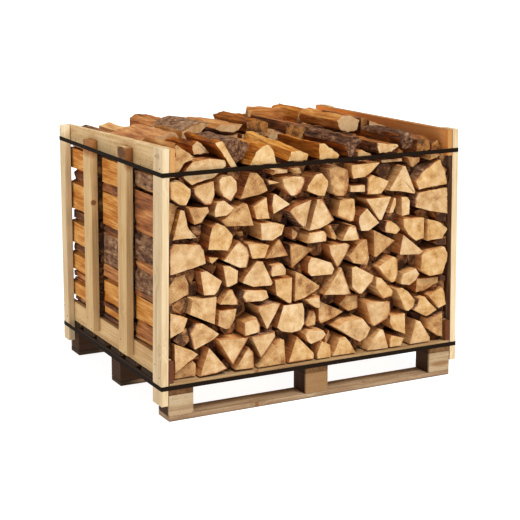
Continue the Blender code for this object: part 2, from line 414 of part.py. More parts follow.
def build_panel(side, sign, collection):
    """One slatted side: posts and slats outside, a rail and a low board nailed to them inside."""

    def upright(name, near, far, bottom, top):
        faces = sorted((sign * (HALF_LENGTH + GAP), sign * (HALF_LENGTH + POST_THICKNESS)))
        low = (faces[0], near, bottom)
        return plank(name, "panel_pine", low, (faces[1], far, top), collection)

    def inner_board(name, bottom, top):
        faces = sorted((sign * (HALF_LENGTH - BOARD_THICKNESS), sign * (HALF_LENGTH - GAP)))
        low = (faces[0], -HALF_DEPTH, bottom)
        return plank(name, "panel_pine", low, (faces[1], HALF_DEPTH, top), collection)

    is_left = side == "left"
    back_width = BACK_LEFT_POST_WIDTH if is_left else POST_WIDTH
    back_top = POST_TOP - LEFT_PANEL_DROP if is_left else POST_TOP
    parts = [upright(f"post_{side}_front", -HALF_DEPTH, -HALF_DEPTH + POST_WIDTH, POST_BOTTOM, POST_TOP),
             upright(f"post_{side}_back", HALF_DEPTH - back_width, HALF_DEPTH, POST_BOTTOM, back_top)]
    for place, (y, bottom, top) in SLATS.items():
        parts.append(upright(f"slat_{side}_{place}", y - SLAT_WIDTH / 2, y + SLAT_WIDTH / 2, bottom, top))
    rail = inner_board(f"rail_{side}", POST_TOP - RAIL_HEIGHT, POST_TOP)
    low_board = inner_board(f"low_board_{side}", DECK_TOP + GAP, DECK_TOP + LOW_BOARD_HEIGHT)
    if is_left:
        lower_back_top(rail, LEFT_PANEL_DROP)
    for part in [*parts, rail, low_board]:
        lean_in(part)


def strap_loop(clearance):
    """Corner-rounded rectangle around the crate, as points in plan."""
    half_x = HALF_LENGTH + POST_THICKNESS + clearance
    half_y = HALF_DEPTH + clearance
    radius = STRAP_CORNER_RADIUS + clearance
    points = []
    for turn, (sx, sy) in enumerate(((1, 1), (-1, 1), (-1, -1), (1, -1))):
        centre = Vector((sx * (half_x - radius), sy * (half_y - radius)))
        for step in range(STRAP_CORNER_STEPS + 1):
            angle = (turn + step / STRAP_CORNER_STEPS) * 90
            arm = Matrix.Rotation(radians(angle), 2) @ Vector((radius, 0))
            points.append(centre + arm)
    return points


def build_strap(name, height, rise_right, rise_back, material, collection):
    """A flat band standing on edge around the posts, as one closed ring."""
    bm = bmesh.new()
    rings = []
    for clearance in (GAP, GAP + STRAP_THICKNESS):
        loop = [bm.verts.new((*point, 0)) for point in strap_loop(clearance)]
        rings += [bm.edges.new((a, b)) for a, b in zip(loop, loop[1:] + loop[:1])]
    band = bmesh.ops.bridge_loops(bm, edges=rings)
    extrude(bm, band["faces"], (0, 0, STRAP_WIDTH))
    for vertex in bm.verts:
        vertex.co.z += height - STRAP_WIDTH / 2
        vertex.co.z += rise_right * vertex.co.x / HALF_LENGTH + rise_back * vertex.co.y / HALF_DEPTH
    lean_in(object_from(bm, name, material, collection))


def inset(corners, distance):
    """The outline with every edge moved inwards by the distance, corners in metres."""
    area = sum(a.x * b.y - b.x * a.y for a, b in zip(corners, corners[1:] + corners[:1]))
    if area < 0:
        corners = corners[::-1]
    moved = []
    count = len(corners)
    for index, corner in enumerate(corners):
        before = (corner - corners[index - 1]).normalized()
        after = (corners[(index + 1) % count] - corner).normalized()
        inward_before = Vector((-before.y, before.x))
        inward_after = Vector((-after.y, after.x))
        bisector = inward_before + inward_after
        moved.append(corner + bisector * distance / max(1 + inward_before.dot(inward_after), 0.25))
    return moved


def add_log(bm, corners, near, far):
    """A log as a prism from its front end to its back end."""
    outline = inset([Vector(corner) * CM for corner in corners], LOG_CLEARANCE / 2)
    face = bm.faces.new([bm.verts.new((x, near, DECK_TOP + z)) for x, z in outline])
    extrude(bm, [face], (0, far - near, 0))


def row_logs(row):
    """The outlines that stand proud of a row's core."""
    packed = LOWER_COURSES + MIDDLE_COURSES + UPPER_COURSES
    if row == "front":
        return LEFT_COLUMN_FRONT + packed + TOP_COURSE_FRONT
    if row == "back":
        return LEFT_COLUMN_BACK + packed + TOP_COURSE_BACK
    right_column = [log for log in packed if max(x for x, z in log[1:]) > ROW_CORE_HALF_WIDTH / CM]
    return LEFT_COLUMN_MIDDLE + right_column + TOP_COURSE_MIDDLE


def build_row(row, collection, helpers):
    near, far = ROW_FRONT_TO_BACK[row]
    core_near = near if row == "back" else near + END_RELIEF[row]
    core_far = far - END_RELIEF[row] if row == "back" else far
    low = Vector((-ROW_CORE_HALF_WIDTH, core_near, DECK_TOP + ROW_CORE_BOTTOM))
    high = Vector((ROW_CORE_HALF_WIDTH, core_far, DECK_TOP + ROW_CORE_TOP))
    bm = bmesh.new()
    place = Matrix.Translation((low + high) / 2) @ Matrix.Diagonal((*(high - low), 1))
    bmesh.ops.create_cube(bm, size=1, matrix=place)
    core = object_from(bm, f"log_row_{row}", wood_material(f"log_row_{row}", "split_wood"), collection)

    scatter = random.Random(row)
    bm = bmesh.new()
    for setback, *corners in row_logs(row):
        shift = setback * CM + scatter.uniform(0, LOG_END_SCATTER)
        if row == "back":
            add_log(bm, corners, near + LOG_END_SCATTER, far - shift)
        else:
            add_log(bm, corners, near + shift, far - LOG_END_SCATTER)
    logs = object_from(bm, f"logs_of_{row}_row", core.data.materials[0], helpers)
    logs.hide_render = True
    logs.display_type = "WIRE"
    union = core.modifiers.new("Logs", "BOOLEAN")
    union.operation = "UNION"
    union.solver = "EXACT"
    union.object = logs


def build_top_logs(collection):
    for name, near, far, corners, swing, lift in TOP_LOGS:
        bm = bmesh.new()
        add_log(bm, corners, near * CM, far * CM)
        for vertex in bm.verts:
            along = (vertex.co.y - near * CM) / ((far - near) * CM)
            vertex.co += Vector((-swing, 0, lift)) * CM * along
        object_from(bm, f"top_log_{name}", wood_material(f"top_log_{name}", "split_wood"), collection)
    bm = bmesh.new()
    end = -CROSSWISE_LOG_LENGTH / 2
    face = bm.faces.new([bm.verts.new((end, y * CM, z * CM)) for y, z in CROSSWISE_LOG_SECTION])
    extrude(bm, [face], (CROSSWISE_LOG_LENGTH, 0, 0))
    name = "top_log_back_crosswise"
    log = object_from(bm, name, wood_material(name, "split_wood"), collection)
    log.location = CROSSWISE_LOG_PLACE
    log.rotation_euler.z = CROSSWISE_LOG_TURN


def main():
    clear_scene()
    crate = make_collection("Pallet of firewood")
    helpers = make_collection("Helpers")
    build_pallet(crate)
    build_panel("left", -1, crate)
    build_panel("right", 1, crate)
    for row in ROW_FRONT_TO_BACK:
        build_row(row, crate, helpers)
    build_top_logs(crate)
    strap = make_material("strap", STRAP_COLOUR, STRAP_ROUGHNESS)
    build_strap("strap_upper", UPPER_STRAP_HEIGHT, UPPER_STRAP_RISE_TO_RIGHT, UPPER_STRAP_RISE_TO_BACK,
                strap, crate)
    build_strap("strap_lower", LOWER_STRAP_HEIGHT, 0, 0, strap, crate)


main()
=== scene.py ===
import functools
import math
import random

import bmesh
import bpy
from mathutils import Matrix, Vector, noise
from mathutils.bvhtree import BVHTree


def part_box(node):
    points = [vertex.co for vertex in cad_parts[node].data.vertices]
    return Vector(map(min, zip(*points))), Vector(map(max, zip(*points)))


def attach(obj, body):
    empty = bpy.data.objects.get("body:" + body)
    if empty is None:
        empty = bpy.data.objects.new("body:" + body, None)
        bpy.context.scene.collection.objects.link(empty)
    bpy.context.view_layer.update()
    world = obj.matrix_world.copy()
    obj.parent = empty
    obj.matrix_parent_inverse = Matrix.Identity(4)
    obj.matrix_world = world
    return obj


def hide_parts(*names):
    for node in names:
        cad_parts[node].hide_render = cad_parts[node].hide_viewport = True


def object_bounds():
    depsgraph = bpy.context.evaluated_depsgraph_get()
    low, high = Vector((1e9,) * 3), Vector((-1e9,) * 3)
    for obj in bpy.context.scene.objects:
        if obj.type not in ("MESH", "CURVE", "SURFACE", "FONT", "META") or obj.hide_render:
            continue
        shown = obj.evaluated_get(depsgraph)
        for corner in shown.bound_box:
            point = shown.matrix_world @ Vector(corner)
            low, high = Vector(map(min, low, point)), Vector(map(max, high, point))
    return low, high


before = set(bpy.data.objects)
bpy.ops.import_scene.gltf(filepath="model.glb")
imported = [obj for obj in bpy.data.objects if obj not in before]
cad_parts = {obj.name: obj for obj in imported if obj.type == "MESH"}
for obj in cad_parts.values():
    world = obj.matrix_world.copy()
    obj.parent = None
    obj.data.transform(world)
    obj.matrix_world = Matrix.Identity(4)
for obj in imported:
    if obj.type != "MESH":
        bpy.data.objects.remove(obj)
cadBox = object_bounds()
print("frame loaded:", len(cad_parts), "nodes")


def hexColour(code):
    shades = [int(code[i:i + 2], 16) / 255 for i in (1, 3, 5)]
    linear = [s / 12.92 if s <= 0.04045 else ((s + 0.055) / 1.055) ** 2.4 for s in shades]
    return (*linear, 1.0)


def setStops(points, stops):
    while len(points) < len(stops):
        points.new(0.5)
    for point, (place, code) in zip(points, stops):
        point.position = place
        point.color = hexColour(code)


def linkInputs(node, links):
    # a source is a socket, or a node that stands for its first output
    for name, source in links.items():
        output = source.outputs[0] if isinstance(source, bpy.types.Node) else source
        node.id_data.links.new(output, node.inputs[name])


def addNode(tree, kind, settings=None, links=None):
    # a kind may name its operation too; settings and links name a socket by its name or its place
    kind, *operation = kind.split()
    node = tree.nodes.new("ShaderNode" + kind)
    if operation:
        node.operation = operation[0]
    if links and "W" in links:
        node.noise_dimensions = "4D"  # the fourth is a log's seed
    for name, value in (settings or {}).items():
        if name == "stops":
            setStops(node.color_ramp.elements, value)
        elif isinstance(name, int) or name in node.inputs:
            node.inputs[name].default_value = value
        else:
            setattr(node, name, value)
    linkInputs(node, links or {})
    return node


def mixTone(add, tone, patterns, wood):
    # shares of the patterns are added to a tone, and the sum picks a colour between the wood's stops
    for pattern, share in zip(patterns, wood["toneShares"]):
        tone = add("Math MULTIPLY_ADD", {1: share}, {0: pattern, 2: tone})
    tone = add("Math SUBTRACT", {1: wood["toneDrop"]}, {0: tone})
    return add("ValToRGB", {"stops": wood["stops"]}, {0: tone})


def paintOver(add, colour, layers):
    for share, code in layers:
        colour = add("Mix", {"data_type": "RGBA", 7: hexColour(code)}, {0: share, 6: colour}).outputs[2]
    return colour


def startMaterial(name, values):
    material = bpy.data.materials.new(name)
    material.use_nodes = True
    shader = material.node_tree.nodes["Principled BSDF"]
    for socket, value in values.items():
        shader.inputs[socket].default_value = value
    return material, shader, functools.partial(addNode, material.node_tree)


def meshFrom(name, bm):
    mesh = bpy.data.meshes.new(name)
    bm.to_mesh(mesh)
    bm.free()
    return mesh


def addObject(name, data):
    item = bpy.data.objects.new(name, data)
    bpy.context.scene.collection.objects.link(item)
    return item


def keepInBox(bm):
    # nothing stands out of the CAD model's box
    for vertex in bm.verts:
        vertex.co = [min(max(c, low), high) for c, low, high in zip(vertex.co, *cadBox)]


# Camera: the photograph's view, from the left of the open front and a little above the heap
view = {
    "place": (-2.409, -4.610, 1.598),
    "yaw": 27.81,
    "pitch": -10.51,
    "roll": 0.08,
    "lens": 92.36,
    "shiftY": -0.1,
}


def placeCamera():
    data = bpy.data.cameras.new("camera")
    data.lens = view["lens"]
    data.shift_y = view["shiftY"]
    camera = addObject("camera", data)
    camera.location = view["place"]
    camera.rotation_euler = [math.radians(a) for a in (90 + view["pitch"], -view["roll"], -view["yaw"])]
    bpy.context.scene.camera = camera


# Studio: a broad sun-like key from the front and above, a soft warm fill from the left, and white
# surroundings that are brightest near the horizon, so that the floor runs into them
studio = {
    "key": {"from": (0.16, -0.50, 0.85), "strength": 2.85, "angle": 22},
    "fill": {"place": (-4.2, 0.9, 2.2), "aim": (0, 0, 0.5), "size": 2.4, "power": 30, "colour": "#FFE6CE"},
    "surroundings": 0.3,
    "horizon": 1.0,
    "horizonHeight": (0.14, 0.2),
    "contrast": 0.88,  # the view's gamma: below 1 the shade between the logs goes deep, as in print
    "floorSize": 300,
    "floorColour": "#8C8C8C",
    "floorRoughness": 0.9,
    "floorGlow": 0.93,  # a white light table, so that the shadow under the pallet stays faint
}
white = (1, 1, 1, 1)


def addLight(name, kind, place, aim):
    data = bpy.data.lights.new(name, kind)
    light = addObject(name, data)
    light.location = place
    light.rotation_euler = (Vector(aim) - light.location).to_track_quat("-Z", "Y").to_euler()
    return data


def lightStudio():
    key = addLight("key", "SUN", studio["key"]["from"], (0, 0, 0))
    key.energy = studio["key"]["strength"]
    key.angle = math.radians(studio["key"]["angle"])
    fill = addLight("fill", "AREA", studio["fill"]["place"], studio["fill"]["aim"])
    fill.size = studio["fill"]["size"]
    fill.energy = studio["fill"]["power"]
    fill.color = hexColour(studio["fill"]["colour"])[:3]

    world = bpy.data.worlds.new("studio")
    world.use_nodes = True
    sky = world.node_tree
    way = addNode(sky, "TexCoord").outputs["Generated"]
    height = addNode(sky, "SeparateXYZ", links={0: way}).outputs["Z"]
    low, high = studio["horizonHeight"]
    light = addNode(sky, "MapRange", {"From Min": low, "From Max": high, "To Min": studio["horizon"],
                                      "To Max": studio["surroundings"]}, {"Value": height})
    background = sky.nodes["Background"]
    background.inputs["Color"].default_value = white
    linkInputs(background, {"Strength": light})
    bpy.context.scene.world = world
    bpy.context.scene.view_settings.view_transform = "Standard"
    bpy.context.scene.view_settings.gamma = studio["contrast"]


def layFloor():
    bm = bmesh.new()
    bmesh.ops.create_grid(bm, x_segments=1, y_segments=1, size=studio["floorSize"] / 2)
    floor = addObject("floor", meshFrom("floor", bm))
    material = startMaterial("white acrylic studio floor, matt, lit from below", {
        "Roughness": studio["floorRoughness"],
        "Base Color": hexColour(studio["floorColour"]),
        "Emission Color": white,
        "Emission Strength": studio["floorGlow"],
    })[0]
    floor.data.materials.append(material)


placeCamera()
lightStudio()
layFloor()
print("camera and studio placed")


# A log's mesh carries what its materials read: "grain", the place in the log measured from its heart,
# "look", its tone, warmth and seed, and "rim", which is 1 beside the bark
patternSpread = 37.0  # how far apart in one noise the patterns of two logs lie


def readLogMesh(add):
    grain = add("Attribute", {"attribute_name": "grain"}).outputs["Vector"]
    look = add("Attribute", {"attribute_name": "look"}).outputs["Vector"]
    tone, warmth, seed = add("SeparateXYZ", links={0: look}).outputs
    moved = add("Math MULTIPLY", {1: patternSpread}, {0: seed})
    return grain, tone, warmth, moved


# Kiln-dried hardwood, cross-cut by saw: dull honey discs with faint rings around the heart, grey and
# orange blotches, a few drying cracks that run out from the heart, and a warm band inside the bark
sawnEnd = {
    "stops": ((0.0, "#E2C79F"), (0.3, "#D4B080"), (0.55, "#C29863"), (0.8, "#A17143"), (1.0, "#50321C")),
    "toneShares": (1.9, 0.35, 0.04),  # of the blotches, rays and rings
    "toneDrop": 1.14,
    "blotches": {"Scale": 26.0, "Detail": 6.0, "Roughness": 0.64},
    "ringWidth": 0.009,  # real rings are about 2.5 mm, drawn wider so that they show
    "ringSway": 0.03,
    "sway": {"Scale": 14.0, "Detail": 2.0},
    "rayStretch": (14, 9, 1),
    "rays": {"Scale": 1.0, "Detail": 3.0},
    "crackColour": "#7E5433",
    "crackWidth": {"From Min": 0.0007, "From Max": 0.0028, "To Min": 1.0, "To Max": 0.0},
    "crackLines": 3.0,
    "crackBend": 0.25,
    "crackPlaces": {"Scale": 26.0, "Detail": 1.0},
    "crackReach": {"From Min": 0.6, "From Max": 0.7},
    "dustColour": "#C6A77D",
    "dust": {"Scale": 12.0, "Detail": 3.0},
    "dustReach": {"From Min": 0.48, "From Max": 0.75, "To Max": 0.75},
    "rimColour": "#A15C2C",
    "rimRaggedness": 0.9,
    "rimReach": {"From Min": 0.75, "From Max": 1.3, "To Max": 0.85},
    "sawMarkWidth": 0.006,  # real marks are about 1.5 mm apart
    "reliefShares": (0.12, 2.0, -2.0),  # of the saw marks, blotches and cracks
    "relief": {"Strength": 0.6, "Distance": 0.002},
    "roughness": 0.85,
}


def sawnEndMaterial():
    material, shader, add = startMaterial("hardwood end grain, sawn", {"Roughness": sawnEnd["roughness"]})
    grain, ownTone, warmth, seed = readLogMesh(add)
    x, y, _ = add("SeparateXYZ", links={0: grain}).outputs
    flat = add("CombineXYZ", links={0: x, 1: y})

    # rings: distance from the heart, pushed about by a slow noise
    sway = add("TexNoise", sawnEnd["sway"], {"Vector": flat, "W": seed})
    radius = add("VectorMath LENGTH", links={0: flat}).outputs["Value"]
    pushed = add("Math MULTIPLY_ADD", {1: sawnEnd["ringSway"]}, {0: sway, 2: radius})
    turns = add("Math MULTIPLY", {1: 2 * math.pi / sawnEnd["ringWidth"]}, {0: pushed})
    rings = add("Math SINE", links={0: turns})

    # rays: soft streaks that fan out from the heart
    angle = add("Math ARCTAN2", links={0: y, 1: x})
    fan = add("CombineXYZ", links={0: angle, 1: radius, 2: seed})
    fanLong = add("VectorMath MULTIPLY", {1: sawnEnd["rayStretch"]}, {0: fan})
    rays = add("TexNoise", sawnEnd["rays"], {"Vector": fanLong})

    # cracks: thin lines at a few angles, broken off here and there
    bent = add("Math MULTIPLY_ADD", {1: sawnEnd["crackBend"]}, {0: sway, 2: angle})
    around = add("Math MULTIPLY_ADD", {1: sawnEnd["crackLines"]}, {0: bent, 2: seed})
    wave = add("Math SINE", links={0: around})
    aside = add("Math MULTIPLY", links={0: wave, 1: radius})
    near = add("Math ABSOLUTE", links={0: aside})
    line = add("MapRange", sawnEnd["crackWidth"], {"Value": near})
    places = add("TexNoise", sawnEnd["crackPlaces"], {"Vector": flat, "W": seed})
    some = add("MapRange", sawnEnd["crackReach"], {"Value": places})
    cracks = add("Math MULTIPLY", links={0: line, 1: some})

    # tone: each log's own, plus blotches, rays and rings
    blotches = add("TexNoise", sawnEnd["blotches"], {"Vector": grain, "W": seed})
    colour = mixTone(add, ownTone, (blotches, rays, rings), sawnEnd)

    # dust where the wood is pale, the band inside the bark, and the cracks
    dust = add("TexNoise", sawnEnd["dust"], {"Vector": grain, "W": seed})
    thick = add("MapRange", sawnEnd["dustReach"], {"Value": dust})
    pale = add("Math SUBTRACT", {0: 1.0, "use_clamp": True}, {1: ownTone})
    dusty = add("Math MULTIPLY", links={0: thick, 1: pale})
    rim = add("Attribute", {"attribute_name": "rim"}).outputs["Fac"]
    ragged = add("Math MULTIPLY_ADD", {1: sawnEnd["rimRaggedness"]}, {0: blotches, 2: rim})
    rimmed = add("MapRange", sawnEnd["rimReach"], {"Value": ragged})
    layers = (dusty, sawnEnd["dustColour"]), (rimmed, sawnEnd["rimColour"]), (cracks, sawnEnd["crackColour"])
    colour = paintOver(add, colour, layers)
    warmed = add("HueSaturation", links={"Color": colour, "Saturation": warmth})

    # relief: saw marks in one direction, rays, blotches and cracks
    across = add("Math MULTIPLY", {1: 2 * math.pi / sawnEnd["sawMarkWidth"]}, {0: x})
    marks = add("Math SINE", links={0: across})
    height = rays
    for source, share in zip((marks, blotches, cracks), sawnEnd["reliefShares"]):
        height = add("Math MULTIPLY_ADD", {1: share}, {0: source, 2: height})
    bump = add("Bump", sawnEnd["relief"], {"Height": height})
    linkInputs(shader, {"Base Color": warmed, "Normal": bump})
    return material


# The same wood riven along the fibre: long ragged streaks, tan where fresh and orange-brown to red
# where it has dried, with fibres that stand up and catch the light
splitSide = {
    "stops": ((0.0, "#EEC98E"), (0.3, "#DDAA6A"), (0.55, "#C48446"), (0.8, "#9E5F2B"), (1.0, "#62391D")),
    "toneShares": (1.3, 0.8),  # of the patches and fibres
    "toneDrop": 0.93,
    "fibreWidth": 0.005,  # real fibres are finer, drawn coarser so that they show
    "fibreLength": 0.09,
    "patchStretch": (45, 45, 7),
    "noise": {"Scale": 1.0, "Detail": 4.0},
    "patchRelief": 2.0,
    "relief": {"Strength": 1.0, "Distance": 0.004},
    "roughness": 0.8,
}


def splitSideMaterial():
    values = {"Roughness": splitSide["roughness"]}
    material, shader, add = startMaterial("hardwood, split along the grain", values)
    grain, tone, warmth, seed = readLogMesh(add)
    fine, long = 1 / splitSide["fibreWidth"], 1 / splitSide["fibreLength"]
    broad = add("VectorMath MULTIPLY", {1: splitSide["patchStretch"]}, {0: grain})
    patches = add("TexNoise", splitSide["noise"], {"Vector": broad, "W": seed})
    narrow = add("VectorMath MULTIPLY", {1: (fine, fine, long)}, {0: grain})
    fibres = add("TexNoise", splitSide["noise"], {"Vector": narrow, "W": seed})
    colour = mixTone(add, tone, (patches, fibres), splitSide)
    warmed = add("HueSaturation", links={"Color": colour, "Saturation": warmth})
    height = add("Math MULTIPLY_ADD", {1: splitSide["patchRelief"]}, {0: patches, 2: fibres})
    bump = add("Bump", splitSide["relief"], {"Height": height})
    linkInputs(shader, {"Base Color": warmed, "Normal": bump})
    return material


# Dry bark of the same trees: grey-brown to reddish, torn into furrows along the log
bark = {
    "stops": ((0.0, "#2E1A11"), (0.35, "#6B462F"), (0.65, "#9A7555"), (1.0, "#C4A681")),
    "toneShares": (2.2, -0.35),  # of the furrows and of the log's own tone
    "toneDrop": 0.97,
    "furrowWidth": 0.012,
    "furrowLength": 0.05,
    "furrows": {"Scale": 1.0, "Detail": 5.0, "Roughness": 0.65, "Distortion": 0.6},
    "mottle": {"Scale": 34.0, "Detail": 4.0},
    "relief": {"Strength": 1.0, "Distance": 0.006},
    "roughness": 0.93,
}


def barkMaterial():
    material, shader, add = startMaterial("hardwood bark, dry and furrowed", {"Roughness": bark["roughness"]})
    grain, ownTone, _, seed = readLogMesh(add)
    wide, long = 1 / bark["furrowWidth"], 1 / bark["furrowLength"]
    stretched = add("VectorMath MULTIPLY", {1: (wide, wide, long)}, {0: grain})
    furrows = add("TexNoise", bark["furrows"], {"Vector": stretched, "W": seed})
    mottle = add("TexNoise", bark["mottle"], {"Vector": grain, "W": seed})
    colour = mixTone(add, mottle, (furrows, ownTone), bark)
    bump = add("Bump", bark["relief"], {"Height": furrows})
    linkInputs(shader, {"Base Color": colour, "Normal": bump})
    return material


logMaterials = [sawnEndMaterial(), splitSideMaterial(), barkMaterial()]
endSlot, sideSlot, barkSlot = 0, 1, 2
print("log materials mixed")


# Shape of every log: how finely it is cut up and how uneven the axe left it
rowLog = {
    "longestEdge": 0.04,
    "rings": 3,
    "unevenness": 0.0022,
    "raggedness": 0.001,
    "rimWidth": 0.008,
    "chips": 0,
}
shownLog = dict(rowLog, longestEdge=0.014, rings=9, unevenness=0.0045, raggedness=0.0024)
looseLog = {
    "longestEdge": 0.008,
    "rings": 15,
    "unevenness": 0.008,
    "raggedness": 0.0042,
    "rimWidth": 0.007,
    "chips": 3,
}
splitting = {
    "chipDepth": (0.006, 0.02),
    "chipSlope": (0.12, 0.45),
    "lumps": {"scale": 28, "share": 0.6},
    "bows": {"scale": 9, "share": 0.8},
    "fibres": {"across": 75, "along": 7},
    "noiseSpan": 50,  # how far apart in the noises two logs may lie
    "inward": 0.3,  # the faces sink a little, so that most of a log stays within its outline
    "easeAtEnds": (0.25, 3),
    "endTilt": 0.04,
    "endChamfer": 0.0012,
    "rimShare": 0.6,
    "sharpHeart": 75,  # in degrees: where no corner is sharper, the heart lies outside the log
    "heartBeyond": {"sharp": 0.05, "blunt": 0.7},
    "barkSpread": 0.72,
    "sharpEdge": 32,
}
squareness = {"run": 0.9, "cap": 0.8, "flat": 0.9, "bevel": 0.35}  # along or across a log, from 0 to 1


def cornerAngle(before, corner, after):
    return (before - corner).angle(after - corner)


def findHeart(outline, centre):
    # a split log's heart lies at its sharpest corner, or beyond it where no corner is sharp
    count = len(outline)
    angles = [cornerAngle(outline[i - 1], outline[i], outline[(i + 1) % count]) for i in range(count)]
    sharpest = min(range(count), key=lambda i: angles[i])
    isSharp = angles[sharpest] < math.radians(splitting["sharpHeart"])
    beyond = splitting["heartBeyond"]["sharp" if isSharp else "blunt"]
    return outline[sharpest] + (outline[sharpest] - centre) * beyond


def measureLog(outline, along):
    length = along.length
    axis = along / length
    side = Vector((axis.y, -axis.x, 0)).normalized()
    centre = sum(outline, Vector()) / len(outline)
    return {"outline": outline, "along": along, "length": length, "axis": axis, "side": side,
            "rise": side.cross(axis), "centre": centre, "heart": findHeart(outline, centre)}


def cutBlank(log, shape, dice):
    # the outline drawn out along the log, with chips split off and with rings to shape it by
    bm = bmesh.new()
    cap = bm.faces.new([bm.verts.new(point) for point in log["outline"]])
    longEdges = [edge for edge in cap.edges if edge.calc_length() > shape["longestEdge"]]
    for edge in longEdges:
        bmesh.ops.bisect_edges(bm, edges=[edge], cuts=int(edge.calc_length() / shape["longestEdge"]))
    grown = bmesh.ops.extrude_face_region(bm, geom=[cap])["geom"]
    grownPoints = [item for item in grown if isinstance(item, bmesh.types.BMVert)]
    bmesh.ops.translate(bm, vec=log["along"], verts=grownPoints)
    for _ in range(shape["chips"]):
        # a piece split off one long edge, deepest at the far end of the log
        corner = dice.choice(log["outline"])
        outwards = (corner - log["centre"]).normalized()
        spot = corner + log["along"] - outwards * dice.uniform(*splitting["chipDepth"])
        slope = log["axis"] * dice.uniform(*splitting["chipSlope"])
        bmesh.ops.bisect_plane(bm, geom=bm.verts[:] + bm.edges[:] + bm.faces[:], plane_co=spot,
                               plane_no=outwards + slope, clear_outer=True)
        bmesh.ops.holes_fill(bm, edges=[edge for edge in bm.edges if edge.is_boundary])
    bmesh.ops.recalc_face_normals(bm, faces=bm.faces)
    runs = []
    for edge in bm.edges:
        way = (edge.verts[1].co - edge.verts[0].co).normalized()
        if abs(way.dot(log["axis"])) > squareness["run"]:
            runs.append(edge)
    bmesh.ops.subdivide_edges(bm, edges=runs, cuts=shape["rings"])
    return bm


def roughen(bm, log, shape, dice):
    # uneven faces, and ends that aren't sawn quite square
    tilts = [Vector((dice.uniform(-1, 1), dice.uniform(-1, 1))) * splitting["endTilt"] for _ in range(2)]
    shift = Vector([dice.uniform(0, splitting["noiseSpan"]) for _ in range(3)])
    axis, side, rise = log["axis"], log["side"], log["rise"]
    lumps, bows, fibres = splitting["lumps"], splitting["bows"], splitting["fibres"]
    least, growth = splitting["easeAtEnds"]
    for vertex in bm.verts:
        rel = vertex.co - log["centre"]
        run = rel.dot(axis) / log["length"]
        out = rel - axis * rel.dot(axis)
        lump = noise.noise(vertex.co * lumps["scale"] + shift) * lumps["share"]
        bow = noise.noise(vertex.co * bows["scale"] + shift) * bows["share"]
        place = Vector((out.dot(side) * fibres["across"], out.dot(rise) * fibres["across"],
                        rel.dot(axis) * fibres["along"]))
        fibre = noise.noise(place + shift)
        ease = min(1, least + growth * min(run, 1 - run))
        lean = tilts[0] * (1 - run) + tilts[1] * run
        swell = (lump + bow - splitting["inward"]) * shape["unevenness"] * ease
        vertex.co += out.normalized() * (swell + fibre * shape["raggedness"])
        vertex.co += axis * (rel.dot(side) * lean.x + rel.dot(rise) * lean.y)
    bm.normal_update()


def trimEnds(bm, log, shape, bothEnds):
    # an end that can be seen has a blunt edge, and inside it a narrow ring of faces for the band at the bark
    axis = log["axis"]
    caps = [face for face in bm.faces if abs(face.normal.dot(axis)) > squareness["cap"]]
    if not bothEnds:
        caps = [min(caps, key=lambda f: (f.calc_center_median() - log["centre"]).length)]
    edges = list(dict.fromkeys(edge for face in caps for edge in face.edges))
    bmesh.ops.bevel(bm, geom=edges, offset=splitting["endChamfer"], segments=1, profile=0.5, affect="EDGES",
                    material=-1, clamp_overlap=True)
    shown = [face for face in bm.faces
             if abs(face.normal.dot(axis)) > squareness["flat"] and len(face.verts) > 4]
    for face in shown:
        room = face.calc_area() / face.calc_perimeter()
        bmesh.ops.inset_region(bm, faces=[face], use_even_offset=True,
                               thickness=min(shape["rimWidth"], splitting["rimShare"] * room))
    bm.normal_update()


def paintLog(bm, log, look):
    grainLayer = bm.verts.layers.float_vector.new("grain")
    rimLayer = bm.verts.layers.float.new("rim")
    lookLayer = bm.faces.layers.float_vector.new("look")
    axis, centre, heart = log["axis"], log["centre"], log["heart"]
    barkWay = Vector(look["barkWay"]).normalized() if "barkWay" in look else (centre - heart).normalized()
    for face in bm.faces:
        flatness = abs(face.normal.dot(axis))
        isCap = flatness > squareness["cap"]
        isFar = (face.calc_center_median() - centre).dot(axis) >= log["length"] / 2
        end = "far" if isFar else "near"
        out = face.normal - axis * face.normal.dot(axis)
        facesBark = flatness < squareness["flat"] and out.normalized().dot(barkWay) > splitting["barkSpread"]
        if (look["bark"] and facesBark) or (isCap and look.get("barkEnd") == end):
            face.material_index = barkSlot
        elif flatness > squareness["bevel"]:
            face.material_index = endSlot
        else:
            face.material_index = sideSlot
        face.smooth = True
        isEnd = face.material_index == endSlot
        tone = look["tone"] if isEnd else look.get("sideTone", look["tone"])
        warmth = look["warmth"] if isEnd else look.get("sideWarmth", look["warmth"])
        # painted shade: an end that lies in the dark takes at least the dark tone
        if isCap and end in look.get("darkEnds", ()):
            tone = max(tone, woodLooks["darkTone"])
        face[lookLayer] = (tone, warmth, look["seed"])
    for vertex in bm.verts:
        rel = vertex.co - heart
        vertex[grainLayer] = (rel.dot(log["side"]), rel.dot(log["rise"]), rel.dot(axis))
        vertex[rimLayer] = float(any(face.material_index == barkSlot for face in vertex.link_faces))


def makeLog(name, outline, along, look, shape):
    dice = random.Random(name)
    log = measureLog(outline, along)
    bm = cutBlank(log, shape, dice)
    roughen(bm, log, shape, dice)
    trimEnds(bm, log, shape, look.get("bothEnds", False))
    paintLog(bm, log, look)
    keepInBox(bm)
    mesh = meshFrom(name, bm)
    for material in logMaterials:
        mesh.materials.append(material)
    mesh.set_sharp_from_angle(angle=math.radians(splitting["sharpEdge"]))
    return mesh


def joinPieces(name, meshes):
    pieces = [addObject(mesh.name, mesh) for mesh in meshes]
    with bpy.context.temp_override(active_object=pieces[0], selected_editable_objects=pieces):
        bpy.ops.object.join()
    pieces[0].name = name
    pieces[0].data.name = name
    return pieces[0]


